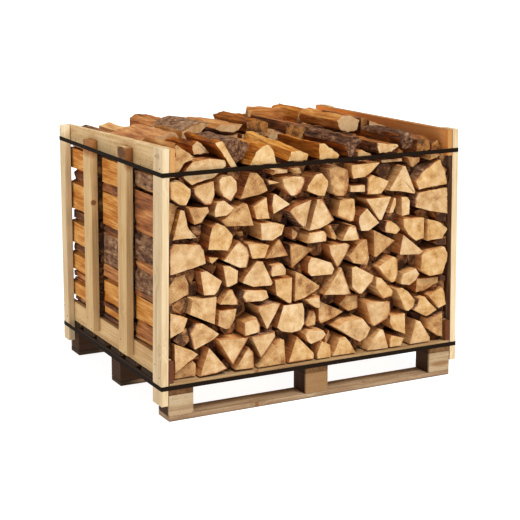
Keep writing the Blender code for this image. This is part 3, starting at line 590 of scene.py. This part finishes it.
# How single logs look: kinds of wood, and which logs are of which kind. A log is named by the place
# of its middle across and above the deck, in centimetres; the others are mixed by chance
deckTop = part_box("deck_board_1")[1].z
woodLooks = {
    "toneSpread": (0.14, 0.65),
    "sideToneSpread": (0.02, 0.52),
    "warmthSpread": (0.96, 1.07),
    "sideWarmth": 0.97,
    "barkShare": 0.42,
    "darkTone": 1.0,  # painted shade: the tone of the log ends that lie in the dark
    "openAbove": 0.7,  # above the deck: higher up no log's end gets the painted shade
    "nameReach": 0.012,
}
woodKinds = {
    "pale": {"tone": 0.25, "warmth": 1.0},
    "honey": {"tone": 0.38, "warmth": 1.05},
    "greyish": {"tone": 0.4, "warmth": 0.98},
    "brown": {"tone": 0.6, "warmth": 1.0},
    "dark": {"tone": 0.95, "warmth": 0.95, "sideTone": 0.95},
    "reddish": {"tone": 0.85, "warmth": 1.08, "sideTone": 0.72},
    "bare": {"bark": False, "sideTone": 0.31, "sideWarmth": 1.08},
    "dull": {"bark": False, "sideTone": 0.6},
    "barked": {"bark": True},
    "barkedLeft": {"bark": True, "barkWay": (-1, 0, 0)},
}
backColumn = ((-52.2, 5.4), (-55.3, 14.2), (-54.8, 26.3), (-53.3, 37.4), (-48.6, 45.9), (-54.5, 53.2),
              (-54.3, 67.3))
namedLogs = {
    "front": {
        "pale": (
            (-26.1, 16.2), (14.9, 46.6), (22.1, 50.2), (-16.6, 60.9), (2.2, 53.9), (37.9, 63.7),
            (27, 54.8), (-31.6, 42.3), (1.1, 35.4), (19.5, 28.1), (-0.1, 46.7), (-9.4, 16.4),
            (-25.5, 27.4), (-18.7, 50.7), (-36.4, 68.2), (-37.9, 60.1), (-42.9, 33.9), (-0.7, 21.9),
            (-0.5, 9.2), (38.8, 55.3), (-9.2, 66.4),
        ),
        "honey": (
            (-54.1, 67), (-39, 50.5), (0.7, 65.7), (25.7, 64), (32.7, 47.2), (13.2, 55), (49.9, 65.6),
            (32.8, 30.6), (29.6, 24.1), (47.7, 14.9), (52.4, 32.2), (42.5, 45.5), (52.4, 44.1),
            (35.1, 2.6), (12.5, 4.1), (-4.7, 3.8), (-23.9, 44.3), (-7.8, 71.6), (18.9, 69.7),
            (40.3, 18.3), (35.9, 9.6),
        ),
        "greyish": (
            (-51.5, 43.8), (-45.5, 66.1), (-7.1, 55), (-24.4, 34.4), (9.7, 39.5), (9.8, 28.8),
            (41.3, 39), (-42.2, 3.5), (-34.1, 9.4), (-28.2, 4.3), (-46.7, 15.4), (-53.1, 9.1),
            (-21, 10.3), (-19.4, 21.5), (-46, 25.2), (27.9, 14.3), (17.3, 9.2), (49.5, 56.2),
            (-55.8, 20.5), (-16, 35.9), (-52.9, 55.8), (46.5, 4.5), (41, 26.8), (27.9, 3.4),
        ),
        "brown": (
            (-25, 68), (-31.8, 57.3), (28.7, 40.9), (19.4, 38.4), (-6.5, 40.5), (-15.5, 43.8),
            (6.5, 15.9), (16.5, 19.3), (-17.5, 4.6), (-4.5, 28.6), (50.7, 23.3), (-51.7, 3),
            (-54.5, 33.5), (-1.1, 15.6), (44, 71), (54.5, 6.6), (-56.8, 58.9), (9.5, 65.9), (-47.5, 59),
        ),
        "dark": ((-47.5, 53.2), (9.7, 48.6)),
        "reddish": ((47.8, 77.3), (54.4, 75.9), (36.4, 75)),
        "bare": ((-53.1, 9.1), (-55.8, 20.5), (-52.9, 55.8), (-51.7, 3)),
        "dull": (
            (-56.8, 58.9), (-9.4, 16.4), (-25, 68), (22.1, 50.2), (-39, 50.5), (-42.9, 33.9),
            (1.1, 35.4),
        ),
        "barkedLeft": ((-54.1, 67), (-51.5, 43.8), (-54.5, 33.5)),
    },
    "middle": {
        "honey": ((-54.3, 53), (-54.3, 67.2)),
        "pale": ((46.4, 78.3),),
        "reddish": ((40.6, 79.5), (53.9, 76.8), (24, 77.1), (11.8, 79.6)),
        "bare": ((-54.3, 67.2), (-54.3, 53), (-55.2, 19.5), (-54.3, 8.1)),
        "barkedLeft": ((-53.7, 35.7), (-48.6, 46)),
    },
    "back": {
        "honey": backColumn,
        "bare": backColumn,
    },
}


def lookFor(row, outline, count):
    dice = random.Random(f"{row} look {count}")
    centre = sum(outline, Vector()) / len(outline)
    look = {
        "tone": dice.triangular(*woodLooks["toneSpread"]),
        "sideTone": dice.uniform(*woodLooks["sideToneSpread"]),
        "warmth": dice.uniform(*woodLooks["warmthSpread"]),
        "sideWarmth": woodLooks["sideWarmth"],
        "seed": dice.random(),
        "bark": dice.random() < woodLooks["barkShare"],
    }
    # painted shade: low down the far ends, and in the middle row both ends, take the dark tone
    if centre.z <= deckTop + woodLooks["openAbove"]:
        look["darkEnds"] = ("near", "far") if row == "middle" else ("far",)
    middle = (centre.x, centre.z - deckTop)
    for kind, spots in namedLogs[row].items():
        if any(math.dist(middle, (x / 100, z / 100)) < woodLooks["nameReach"] for x, z in spots):
            look.update(woodKinds[kind])
    return look


# How the CAD logs are read: what counts as one corner and one flat face (in degrees), how squarely a
# log's end faces its way, and how far it stands out from its row's core
reading = {"sameCorner": 0.00002, "sameFace": 0.5, "facing": 0.999, "proud": 0.0005}


def mergedCopy(node):
    # a node's mesh is loose triangles; in this copy its corners are joined and its flat faces whole
    bm = bmesh.new()
    bm.from_mesh(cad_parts[node].data)
    bmesh.ops.remove_doubles(bm, verts=bm.verts, dist=reading["sameCorner"])
    angle = math.radians(reading["sameFace"])
    bmesh.ops.dissolve_limit(bm, angle_limit=angle, verts=bm.verts, edges=bm.edges)
    return bm


def readEnds(node, way):
    # the log ends that stand proud of a row's solid
    bm = mergedCopy(node)
    facing = [face for face in bm.faces if face.normal.y * way > reading["facing"]]
    deepest = min(face.verts[0].co.y * way for face in facing)
    ends = [[vertex.co.copy() for vertex in face.verts] for face in facing
            if face.verts[0].co.y * way > deepest + reading["proud"]]
    bm.free()
    return sorted(ends, key=lambda end: (round(end[0].z, 4), round(end[0].x, 4)))


def wallTree(outlines):
    # upright walls along the outlines, to measure the space between them
    points, walls = [], []
    for outline in outlines:
        for a, b in zip(outline, outline[1:] + outline[:1]):
            start = len(points)
            points += [(a.x, -1, a.z), (b.x, -1, b.z), (b.x, 1, b.z), (a.x, 1, a.z)]
            walls.append((start, start + 1, start + 2, start + 3))
    return BVHTree.FromPolygons(points, walls)


def isInside(point, outline):
    crossings = 0
    for a, b in zip(outline, outline[1:] + outline[:1]):
        if (a.z > point.z) != (b.z > point.z):
            crossings += point.x < a.x + (point.z - a.z) / (b.z - a.z) * (b.x - a.x)
    return crossings % 2 == 1


# Thin logs pushed into the spaces that the others leave, with their ends set back in the shade and painted
# shade on them: dark tones on their ends and sides
filling = {
    "step": 0.008,
    "leastRoom": 0.0115,
    "leastRoomBeside": 0.0045,  # beyond sideEdge, where thin pieces close the slit beside a panel
    "sideEdge": 0.53,
    "mostReach": 0.04,
    "clearance": 0.0018,
    "setback": (0.04, 0.1),
    "setbackBeside": (0.012, 0.03),
    # painted shade: the fillers' dark tones, lighter on the sides of those beside the panels
    "toneSpread": (0.88, 1.08),
    "sideToneBeside": (0.48, 0.85),
    "warmth": 1.0,
    "corners": (5, 7),
    "cornerPlay": 0.2,
    "besideBoards": 0.577,
    "aboveBoards": 0.003,
    "besideSlats": (0.591, 0.584),  # low down, and at the top, where the panels lean in
    "height": 0.745,
}


def isBeside(x):
    return abs(x) > filling["sideEdge"]


def leastRoomAt(point):
    return filling["leastRoomBeside" if isBeside(point.x) else "leastRoom"]


def crateOutline():
    # the space between the panels, which is narrower at the low boards, clockwise from below right
    low, top = deckTop, deckTop + filling["height"]
    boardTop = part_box("low_board_left")[1].z + filling["aboveBoards"]
    boards, (wide, narrow) = filling["besideBoards"], filling["besideSlats"]
    right = ((boards, low), (boards, boardTop), (wide, boardTop), (narrow, top))
    return right + tuple((-x, z) for x, z in reversed(right))


def fillGaps(row, ends, y, way):
    dice = random.Random(f"{row} filling")
    walls = [Vector((x, y, z)) for x, z in crateOutline()]
    outlines = list(ends)
    tree = wallTree(outlines + [walls])
    half, step = filling["besideSlats"][0], filling["step"]
    roomy = []
    for i in range(int(2 * half / step)):
        for j in range(int(filling["height"] / step)):
            point = Vector((-half + i * step, 0, deckTop + j * step))
            room = tree.find_nearest(point)[3]
            if room > leastRoomAt(point):
                roomy.append((room, point))
    roomy.sort(key=lambda item: -item[0])
    added = []
    for _, point in roomy:
        if not isInside(point, walls) or any(isInside(point, outline) for outline in outlines):
            continue
        if tree.find_nearest(point)[3] < leastRoomAt(point):
            continue
        corners = dice.randint(*filling["corners"])
        turn = dice.uniform(0, 2 * math.pi)
        setback = dice.uniform(*filling["setbackBeside" if isBeside(point.x) else "setback"])
        end = Vector((0, y - way * setback, 0))
        outline = []
        for k in range(corners):
            play = dice.uniform(-filling["cornerPlay"], filling["cornerPlay"])
            angle = turn + (k + play) * 2 * math.pi / corners
            outwards = Vector((math.cos(angle), 0, math.sin(angle)))
            reach = tree.ray_cast(point, outwards)[3] or filling["mostReach"]
            reach = min(reach, filling["mostReach"]) - filling["clearance"]
            outline.append(point + outwards * reach + end)
        outlines.append(outline)
        added.append(outline)
        tree = wallTree(outlines + [walls])
    return added


# The three rows: the solid that each takes its ends from, and the way that these face
rows = {
    "front": {"way": -1, "node": "log_row_front"},
    "middle": {"way": -1, "node": "log_row_middle"},
    "back": {"way": 1, "node": "log_row_back"},
}
rowDepth = {
    "hiddenEndScatter": (0.002, 0.012),
    "middleHalfWidth": 0.42,  # logs of the middle row within this lie behind the front row's
    "middleHeight": 0.72,
    "middleSetback": 0.006,
    "openHeight": 0.74,  # a log that reaches higher, or beyond sideEdge, is seen along its length
}


def buildRow(row, spec):
    low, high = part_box(spec["node"])
    way = spec["way"]
    face, far = (low.y, high.y) if way < 0 else (high.y, low.y)
    ends = readEnds(spec["node"], way)
    if row == "middle":
        # its hidden logs take the front row's outlines, mirrored
        ceiling, setback = deckTop + rowDepth["middleHeight"], rowDepth["middleSetback"]
        for end in readEnds("log_row_front", -1):
            if max(abs(p.x) for p in end) < rowDepth["middleHalfWidth"] and max(p.z for p in end) < ceiling:
                ends.append([Vector((-p.x, face + setback, p.z)) for p in reversed(end)])
    fillers = fillGaps(row, ends, face, way)
    meshes = []
    for count, end in enumerate(ends + fillers):
        dice = random.Random(f"{row} length {count}")
        reach = far + way * dice.uniform(*rowDepth["hiddenEndScatter"]) - end[0].y
        look = lookFor(row, end, count)
        # painted shade: a filler takes a dark tone on its end and sides
        if count >= len(ends):
            look["tone"] = look["sideTone"] = dice.uniform(*filling["toneSpread"])
            look["warmth"] = filling["warmth"]
            if isBeside(end[0].x):
                look["sideTone"] = dice.uniform(*filling["sideToneBeside"])
        isSeen = any(isBeside(p.x) or p.z > deckTop + rowDepth["openHeight"] for p in end)
        shape = shownLog if isSeen else rowLog
        meshes.append(makeLog(f"{row}_{count}", end, Vector((0, reach, 0)), look, shape))
    piece = joinPieces(f"logs_{row}", meshes)
    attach(piece, "root")
    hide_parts(spec["node"])
    triangles = sum(len(polygon.vertices) - 2 for polygon in piece.data.polygons)
    print(row, "row:", len(ends), "logs and", len(fillers), "fillers,", triangles, "triangles")


for row, spec in rows.items():
    buildRow(row, spec)


# The loose logs: whether bark is left on them, which way it faces, and an end that it hides
looseLooks = {
    "front_corner": {"tone": 0.55, "sideTone": 0.42, "warmth": 1.0},
    "front_brown": {"tone": 0.05, "sideTone": 0.58, "warmth": 1.1},
    "front_slab": {"tone": 0.25, "sideTone": 0.65, "warmth": 1.1},
    "front_bark": {"tone": 0.4, "bark": True, "sideTone": 0.5, "barkWay": (-0.5, 0, 0.87), "barkEnd": "near"},
    "front_pale": {"tone": 0.12, "sideTone": 0.38, "warmth": 1.1, "seed": 0.3},
    "front_askew": {"tone": 0.25, "sideTone": 0.28, "warmth": 1.1},
    "front_wedge": {"tone": 0.28, "sideTone": 0.53, "warmth": 1.1},
    "front_dark": {"tone": 0.85, "bark": True, "sideTone": 0.78, "warmth": 1.1, "barkWay": (-0.7, 0, 0.7),
                   "barkEnd": "near"},
    "front_flat": {"tone": 0.25, "bark": True, "sideTone": 0.68, "barkWay": (-1, 0, 0)},
    "front_right": {"tone": 0.9, "bark": True, "sideTone": 0.73, "warmth": 1.1, "barkWay": (-0.5, 0, 0.85),
                    "barkEnd": "near"},
    "middle_long": {"tone": 0.35, "sideTone": 0.45, "warmth": 0.95},
    "middle_bark": {"tone": 0.3, "bark": True, "sideTone": 0.13, "barkWay": (-0.2, 0, 1)},
    "middle_pale": {"tone": 0.36, "sideTone": 0.43, "warmth": 1.0},
    "middle_red": {"tone": 0.85, "sideTone": 0.73, "warmth": 1.1},
    "middle_round": {"tone": 0.12, "sideTone": 0.35, "warmth": 1.05},
    "back_left": {"tone": 0.4, "sideTone": 0.55, "warmth": 0.98},
    "back_ridge": {"tone": 0.7, "sideTone": 0.58, "warmth": 1.1},
    "back_round": {"tone": 0.3, "sideTone": 0.43, "warmth": 1.1},
    "back_crosswise": {"tone": 0.5, "sideTone": 0.45},
}


def readLooseLog(node):
    # the near end's outline, and the way to the far end; only the ends have more than four corners
    bm = mergedCopy(node)
    caps = [face for face in bm.faces if len(face.verts) > 4]
    caps.sort(key=lambda f: f.calc_center_median().y)
    near = [vertex.co.copy() for vertex in caps[0].verts]
    along = caps[-1].calc_center_median() - caps[0].calc_center_median()
    bm.free()
    return near, along


def buildLooseLogs():
    for name, look in looseLooks.items():
        node = f"top_log_{name}"
        near, along = readLooseLog(node)
        dice = random.Random(node)
        chance = {"warmth": dice.uniform(*woodLooks["warmthSpread"]), "seed": dice.random()}
        whole = {**chance, "bark": False, "bothEnds": True, **look}
        mesh = makeLog(f"loose_{name}", near, along, whole, looseLog)
        piece = addObject(mesh.name, mesh)
        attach(piece, "root")
        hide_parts(node)
    print(len(looseLooks), "loose logs built")


buildLooseLogs()


# Pine, sawn and left raw: straight growth streaks along each board, small knots, flecks and stains.
# The axes are the board's width, thickness and run. A stain has its middle, half sizes, colour and
# strength; the one on the bottom boards is painted shade. The inside is where a board faces the logs,
# with painted shade on it, and on the rails painted light: its colour, strength and distance from the
# crate's middle. Dark is painted shade under the deck and the pallet, and at the deck boards' ends the
# darker end grain as well: the axis and where it sets in
pineWoods = {
    "post": {
        "axes": (1, 0, 2),
        "colours": ("#EAD8B8", "#DAC39D", "#B69569"),
        # painted shade: the posts' inner faces dark brown
        "inside": ("#5E341C", 1.0, 0.6003),
        "stains": (
            ((0.586, 0.48, 0.96), (0.006, 0.06, 0.04), "#6E4A2A", 0.85),
            ((-0.63, 0.47, 0.945), (0.03, 0.04, 0.03), "#F2E4C4", 0.8),
            ((-0.63, -0.46, 0.94), (0.03, 0.02, 0.012), "#A58C68", 0.5),
        ),
    },
    "slat": {
        "axes": (1, 0, 2),
        "colours": ("#E4CDA2", "#D2B282", "#A77C4D"),
        # painted shade: the slats' inner faces dark brown
        "inside": ("#6B4A2C", 0.8, 0.6003),
        "stains": (
            ((-0.61, 0.18, 0.905), (0.07, 0.11, 0.05), "#985C24", 0.8),
            ((-0.605, -0.19, 0.905), (0.025, 0.035, 0.055), "#86501F", 0.9),
            ((-0.635, -0.14, 0.915), (0.025, 0.055, 0.045), "#5C3416", 0.9),
            ((-0.616, 0.161, 0.68), (0.012, 0.007, 0.011), "#7A4218", 0.8),
        ),
    },
    "rail": {
        "axes": (2, 0, 1),
        "colours": ("#EFD8AF", "#DABB8B", "#AB8353"),
        "flecks": 0.6,
        # painted light: the rails' inner faces a bright orange, lighter than the shade there
        "inside": ("#F2A65C", 0.95, 0.58),
        "stains": (
            ((0.577, 0, 0.978), (0.06, 3, 0.02), "#9A622E", 0.75),
            ((-0.6, 0.1, 0.9), (0.02, 0.12, 0.04), "#C4AE86", 0.5),
            ((-0.583, -0.5, 0.92), (0.06, 0.02, 0.12), "#C9985F", 0.9),
            ((0.577, -0.5, 0.92), (0.06, 0.02, 0.12), "#C08A50", 0.9),
        ),
    },
    "low_board": {
        "axes": (2, 0, 1),
        "colours": ("#EAD2A5", "#D9B787", "#A97F50"),
        "flecks": 0.3,
        # painted shade: the low boards' inner faces darker brown
        "inside": ("#8F5A29", 0.6, 0.58),
        "stains": (
            ((-0.59, -0.5, 0.18), (0.06, 0.02, 0.12), "#62301A", 0.95),
            ((0.59, -0.5, 0.18), (0.06, 0.02, 0.12), "#62301A", 0.95),
        ),
    },
    "deck_board": {
        "axes": (1, 2, 0),
        "colours": ("#C9B08A", "#A6875F", "#765637"),
        # painted shade at the deck boards' ends, with their darker end grain as well
        "dark": {"axis": 0, "from": 0.596, "to": 0.598, "colour": "#3A2818"},
    },
    "bottom_board": {
        "axes": (1, 2, 0),
        "colours": ("#BFAA8C", "#A18567", "#6C5139"),
        "flecks": 0.3,
        # painted shade: a dark stain over the left ends of the middle and back bottom boards, under the
        # pallet
        "stains": (((-0.6, 0.25, 0.01), (0.12, 0.5, 0.1), "#2E2012", 0.9),),
        # painted shade: the bottom boards darker along their lowest edge, under the pallet
        "dark": {"axis": 2, "from": 0.006, "to": 0.001, "colour": "#5A432F"},
    },
    "block": {
        "axes": (2, 1, 0),
        "colours": ("#C9B799", "#B09675", "#86684A"),
        "flecks": 0.3,
        "stains": (
            ((0, -0.5, 0.06), (0.12, 0.04, 0.09), "#8F6638", 0.7),
            ((0.56, -0.5, 0.05), (0.05, 0.03, 0.012), "#8B6238", 0.6),
        ),
        # painted shade: the blocks darker except on their front and back faces, under the deck
        "dark": {"axis": 1, "from": 0.496, "to": 0.488, "colour": "#3C1E08"},
    },
    "stringer": {
        "axes": (0, 2, 1),
        "colours": ("#8F6E49", "#704F2F", "#4C311A"),
        # painted shade: the stringers darker except at their ends, under the deck
        "dark": {"axis": 1, "from": 0.496, "to": 0.488, "colour": "#3A2818"},
    },
}
pineGrain = {
    "streakWidth": 0.009,  # growth streaks of about 3 mm, drawn wider so that they show
    "streakLength": 0.28,
    "streaks": {"Scale": 1.0, "Detail": 4.0, "Distortion": 0.4},
    "patchStretch": (14, 14, 4),
    "patches": {"Scale": 1.0, "Detail": 3.0},
    "toneShares": (0.9,),  # of the patches, added to the streaks
    "toneDrop": 0.5,
    "knotEvery": (0.125, 0.5, 0.38),
    "knotSize": {"From Min": 0.0054, "From Max": 0.009, "To Min": 0.8, "To Max": 0.0},
    "knotChance": {"From Min": 0.55, "From Max": 0.56},
    "knotBend": {"From Max": 0.05, "To Min": 0.014, "To Max": 0.0, "interpolation_type": "SMOOTHSTEP"},
    "knotColour": "#8A5A32",
    "fleckSize": (0.012, 0.004),
    "flecks": {"Scale": 1.0, "Detail": 1.0},
    "fleckEdge": {"From Min": 0.62, "From Max": 0.68},
    "fleckColour": "#7E5C3A",
    "stainRaggedness": 0.9,
    "stainEdge": {"From Min": 1.15, "From Max": 1.6, "To Max": 0.0},
    "insideDepth": (0.0015, 0.0005),
    "insideStreaks": {"From Min": 0.35, "From Max": 0.6, "To Min": 0.65},
    "darkStrength": 0.93,
    "relief": {"Strength": 0.5, "Distance": 0.0008},
    "roughness": 0.75,
    "specular": 0.2,  # dry and rough, so that the dark faces stay warm
}
panelLean = {"tip": 0.014, "height": 0.83, "back": 0.5}


def insideLightAndShadeShare(add, x, y, z, streaks, plane, strength):
    # painted shade and painted light on the panels' inner faces, which face the logs: dark brown shade on the
    # posts, slats and low boards, and a bright orange painted light on the rails; the left panel leans in at
    # its front alone
    slope = panelLean["tip"] / panelLean["height"]
    isRight = add("Math GREATER_THAN", {1: 0.0}, {0: x})
    forward = add("Math SUBTRACT", {0: panelLean["back"]}, {1: y})
    leaning = add("Math MAXIMUM", links={0: isRight, 1: forward})
    rise = add("Math MULTIPLY_ADD", {1: slope, 2: -slope * deckTop}, {0: z})
    fromMiddle = add("Math ABSOLUTE", links={0: x})
    depth = add("Math MULTIPLY_ADD", links={0: leaning, 1: rise, 2: fromMiddle})
    begin, full = (plane + offset for offset in pineGrain["insideDepth"])
    facing = add("MapRange", {"From Min": begin, "From Max": full, "To Max": strength}, {"Value": depth})
    uneven = add("MapRange", pineGrain["insideStreaks"], {"Value": streaks})
    return add("Math MULTIPLY", links={0: facing, 1: uneven})


def sawnPineMaterial(kind, wood):
    material, shader, add = startMaterial(f"pine, sawn, {kind.replace('_', ' ')}", {
        "Roughness": pineGrain["roughness"],
        "Specular IOR Level": pineGrain["specular"],
    })
    place = add("TexCoord").outputs["Object"]
    xyz = add("SeparateXYZ", links={0: place}).outputs
    board = add("CombineXYZ", links={i: xyz[axis] for i, axis in enumerate(wood["axes"])})

    # knots: one in some of the cells along the board, with the streaks bent round it
    across, through, along = pineGrain["knotEvery"]
    cells = add("VectorMath MULTIPLY", {1: (1 / across, 1 / through, 1 / along)}, {0: board})
    knotCell = add("TexVoronoi", {"Scale": 1.0}, {"Vector": cells}).outputs
    off = add("VectorMath SUBTRACT", links={0: cells, 1: knotCell["Position"]})
    real = add("VectorMath MULTIPLY", {1: (across, 0, along)}, {0: off})
    toKnot = add("VectorMath LENGTH", links={0: real}).outputs["Value"]
    pull = add("MapRange", pineGrain["knotBend"], {"Value": toKnot})
    bent = add("VectorMath ADD", links={0: board, 1: pull})
    chosen = add("MapRange", pineGrain["knotChance"], {"Value": knotCell["Color"]})
    near = add("MapRange", pineGrain["knotSize"], {"Value": toKnot})
    knot = add("Math MULTIPLY", links={0: near, 1: chosen})

    # streaks and slow patches
    fine, long = 1 / pineGrain["streakWidth"], 1 / pineGrain["streakLength"]
    streaked = add("VectorMath MULTIPLY", {1: (fine, fine, long)}, {0: bent})
    streaks = add("TexNoise", pineGrain["streaks"], {"Vector": streaked})
    slow = add("VectorMath MULTIPLY", {1: pineGrain["patchStretch"]}, {0: board})
    patches = add("TexNoise", pineGrain["patches"], {"Vector": slow})
    stops = tuple(zip((0.0, 0.5, 1.0), wood["colours"]))
    colour = mixTone(add, streaks, [patches], {**pineGrain, "stops": stops})
    layers = [(knot, pineGrain["knotColour"])]

    # small torn flecks across the grain
    if "flecks" in wood:
        wide, short = (1 / size for size in pineGrain["fleckSize"])
        spread = add("VectorMath MULTIPLY", {1: (wide, wide, short)}, {0: board})
        torn = add("TexNoise", pineGrain["flecks"], {"Vector": spread})
        most = {"To Max": wood["flecks"]}
        fleck = add("MapRange", {**pineGrain["fleckEdge"], **most}, {"Value": torn})
        layers.append((fleck, pineGrain["fleckColour"]))

    for middle, sizes, stainColour, strength in wood.get("stains", ()):
        away = add("VectorMath SUBTRACT", {1: middle}, {0: place})
        share = add("VectorMath DIVIDE", {1: sizes}, {0: away})
        reach = add("VectorMath LENGTH", links={0: share}).outputs["Value"]
        edge = add("Math MULTIPLY_ADD", {1: pineGrain["stainRaggedness"]}, {0: patches, 2: reach})
        stain = add("MapRange", {**pineGrain["stainEdge"], "To Min": strength}, {"Value": edge})
        layers.append((stain, stainColour))
    # painted shade, and painted light on the rails, on the faces towards the logs
    if "inside" in wood:
        insidePaintedColour, strength, plane = wood["inside"]
        layers.append((insideLightAndShadeShare(add, *xyz, streaks, plane, strength), insidePaintedColour))
    if "dark" in wood:
        # painted shade: darker past a plane along one axis, where the part lies in the shade
        dark = wood["dark"]
        depth = add("Math ABSOLUTE", links={0: xyz[dark["axis"]]})
        shade = add("MapRange", {"From Min": dark["from"], "From Max": dark["to"],
                                 "To Max": pineGrain["darkStrength"]}, {"Value": depth})
        layers.append((shade, dark["colour"]))
    bump = add("Bump", pineGrain["relief"], {"Height": streaks})
    linkInputs(shader, {"Base Color": paintOver(add, colour, layers), "Normal": bump})
    return material


def dress(node, material):
    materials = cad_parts[node].data.materials
    materials.clear()
    materials.append(material)


def dressBoards():
    for kind, wood in pineWoods.items():
        material = sawnPineMaterial(kind, wood)
        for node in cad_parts:
            if node.startswith(kind + "_"):
                dress(node, material)
    print("boards dressed")


dressBoards()


# Wire nails, steel gone dull and brown: round heads, driven almost flush into the panels' boards
nails = {
    "radius": 0.0035,
    "taper": 0.6,
    "height": 0.0016,
    "sides": 10,
    "proud": 0.0006,
    "fromEdge": 0.018,
    "apart": (0.25, 0.02),  # to each side of the crossing's middle: a share of the width, and a rise
    "stops": ((0.3, "#3A2D24"), (0.7, "#54463B")),
    "rust": {"Scale": 160.0, "Detail": 3.0},
    "metallic": 0.7,
    "roughness": 0.55,
}


def nailSpots():
    # two nails where each post or slat crosses a rail or a low board, set askew
    spots = []
    sideways, upwards = nails["apart"]
    for side in ("left", "right"):
        for upright in ("post_%s_front", "post_%s_back", "slat_%s_front", "slat_%s_back"):
            low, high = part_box(upright % side)
            for board in ("rail", "low_board"):
                bottom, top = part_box(f"{board}_{side}")
                floor, ceiling = max(low.z, bottom.z), min(high.z, top.z)
                rise = min(upwards, (ceiling - floor) / 2 - nails["fromEdge"] / 2)
                for share in (-1, 1):
                    y = (low.y + high.y) / 2 + share * sideways * (high.y - low.y)
                    z = (floor + ceiling) / 2 + share * rise
                    spots.append((upright % side, y, z))
    return spots


def nailMaterial():
    material, shader, add = startMaterial("steel nail heads, dull and rusty", {
        "Metallic": nails["metallic"],
        "Roughness": nails["roughness"],
    })
    place = add("TexCoord").outputs["Object"]
    rust = add("TexNoise", nails["rust"], {"Vector": place})
    colour = add("ValToRGB", {"stops": nails["stops"]}, {0: rust})
    linkInputs(shader, {"Base Color": colour})
    return material


def buildNails():
    bm = bmesh.new()
    spots = nailSpots()
    for node, y, z in spots:
        way = -1 if "left" in node else 1
        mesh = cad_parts[node].data
        tree = BVHTree.FromPolygons([v.co for v in mesh.vertices], [list(p.vertices) for p in mesh.polygons])
        hit, normal, _, _ = tree.ray_cast(Vector((way, y, z)), Vector((-way, 0, 0)))
        head = bmesh.ops.create_cone(bm, cap_ends=True, segments=nails["sides"], radius1=nails["radius"],
                                     radius2=nails["taper"] * nails["radius"], depth=nails["height"])["verts"]
        turn = normal.to_track_quat("Z", "Y").to_matrix().to_4x4()
        turn.translation = hit + normal * (nails["proud"] - nails["height"] / 2)
        bmesh.ops.transform(bm, matrix=turn, verts=head)
    keepInBox(bm)
    piece = addObject("nails", meshFrom("nails", bm))
    piece.data.materials.append(nailMaterial())
    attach(piece, "root")
    print(len(spots), "nails driven")


buildNails()


# Woven polyester strapping, near black with a brown cast and a soft sheen
strapping = {
    "colour": "#251A10",
    "roughness": 0.7,
    "specular": 0.08,
    "ribWidth": 0.0022,
    "relief": {"Strength": 0.3, "Distance": 0.0003},
}


def strapMaterial():
    material, shader, add = startMaterial("polyester strapping, embossed", {
        "Base Color": hexColour(strapping["colour"]),
        "Roughness": strapping["roughness"],
        "Specular IOR Level": strapping["specular"],
    })
    place = add("TexCoord").outputs["Object"]
    ribs = add("TexVoronoi", {"Scale": 1 / strapping["ribWidth"]}, {"Vector": place})
    bump = add("Bump", strapping["relief"], {"Height": ribs})
    linkInputs(shader, {"Normal": bump})
    return material


def dressStraps():
    material = strapMaterial()
    for node in ("strap_upper", "strap_lower"):
        dress(node, material)
    print("straps dressed")


dressStraps()
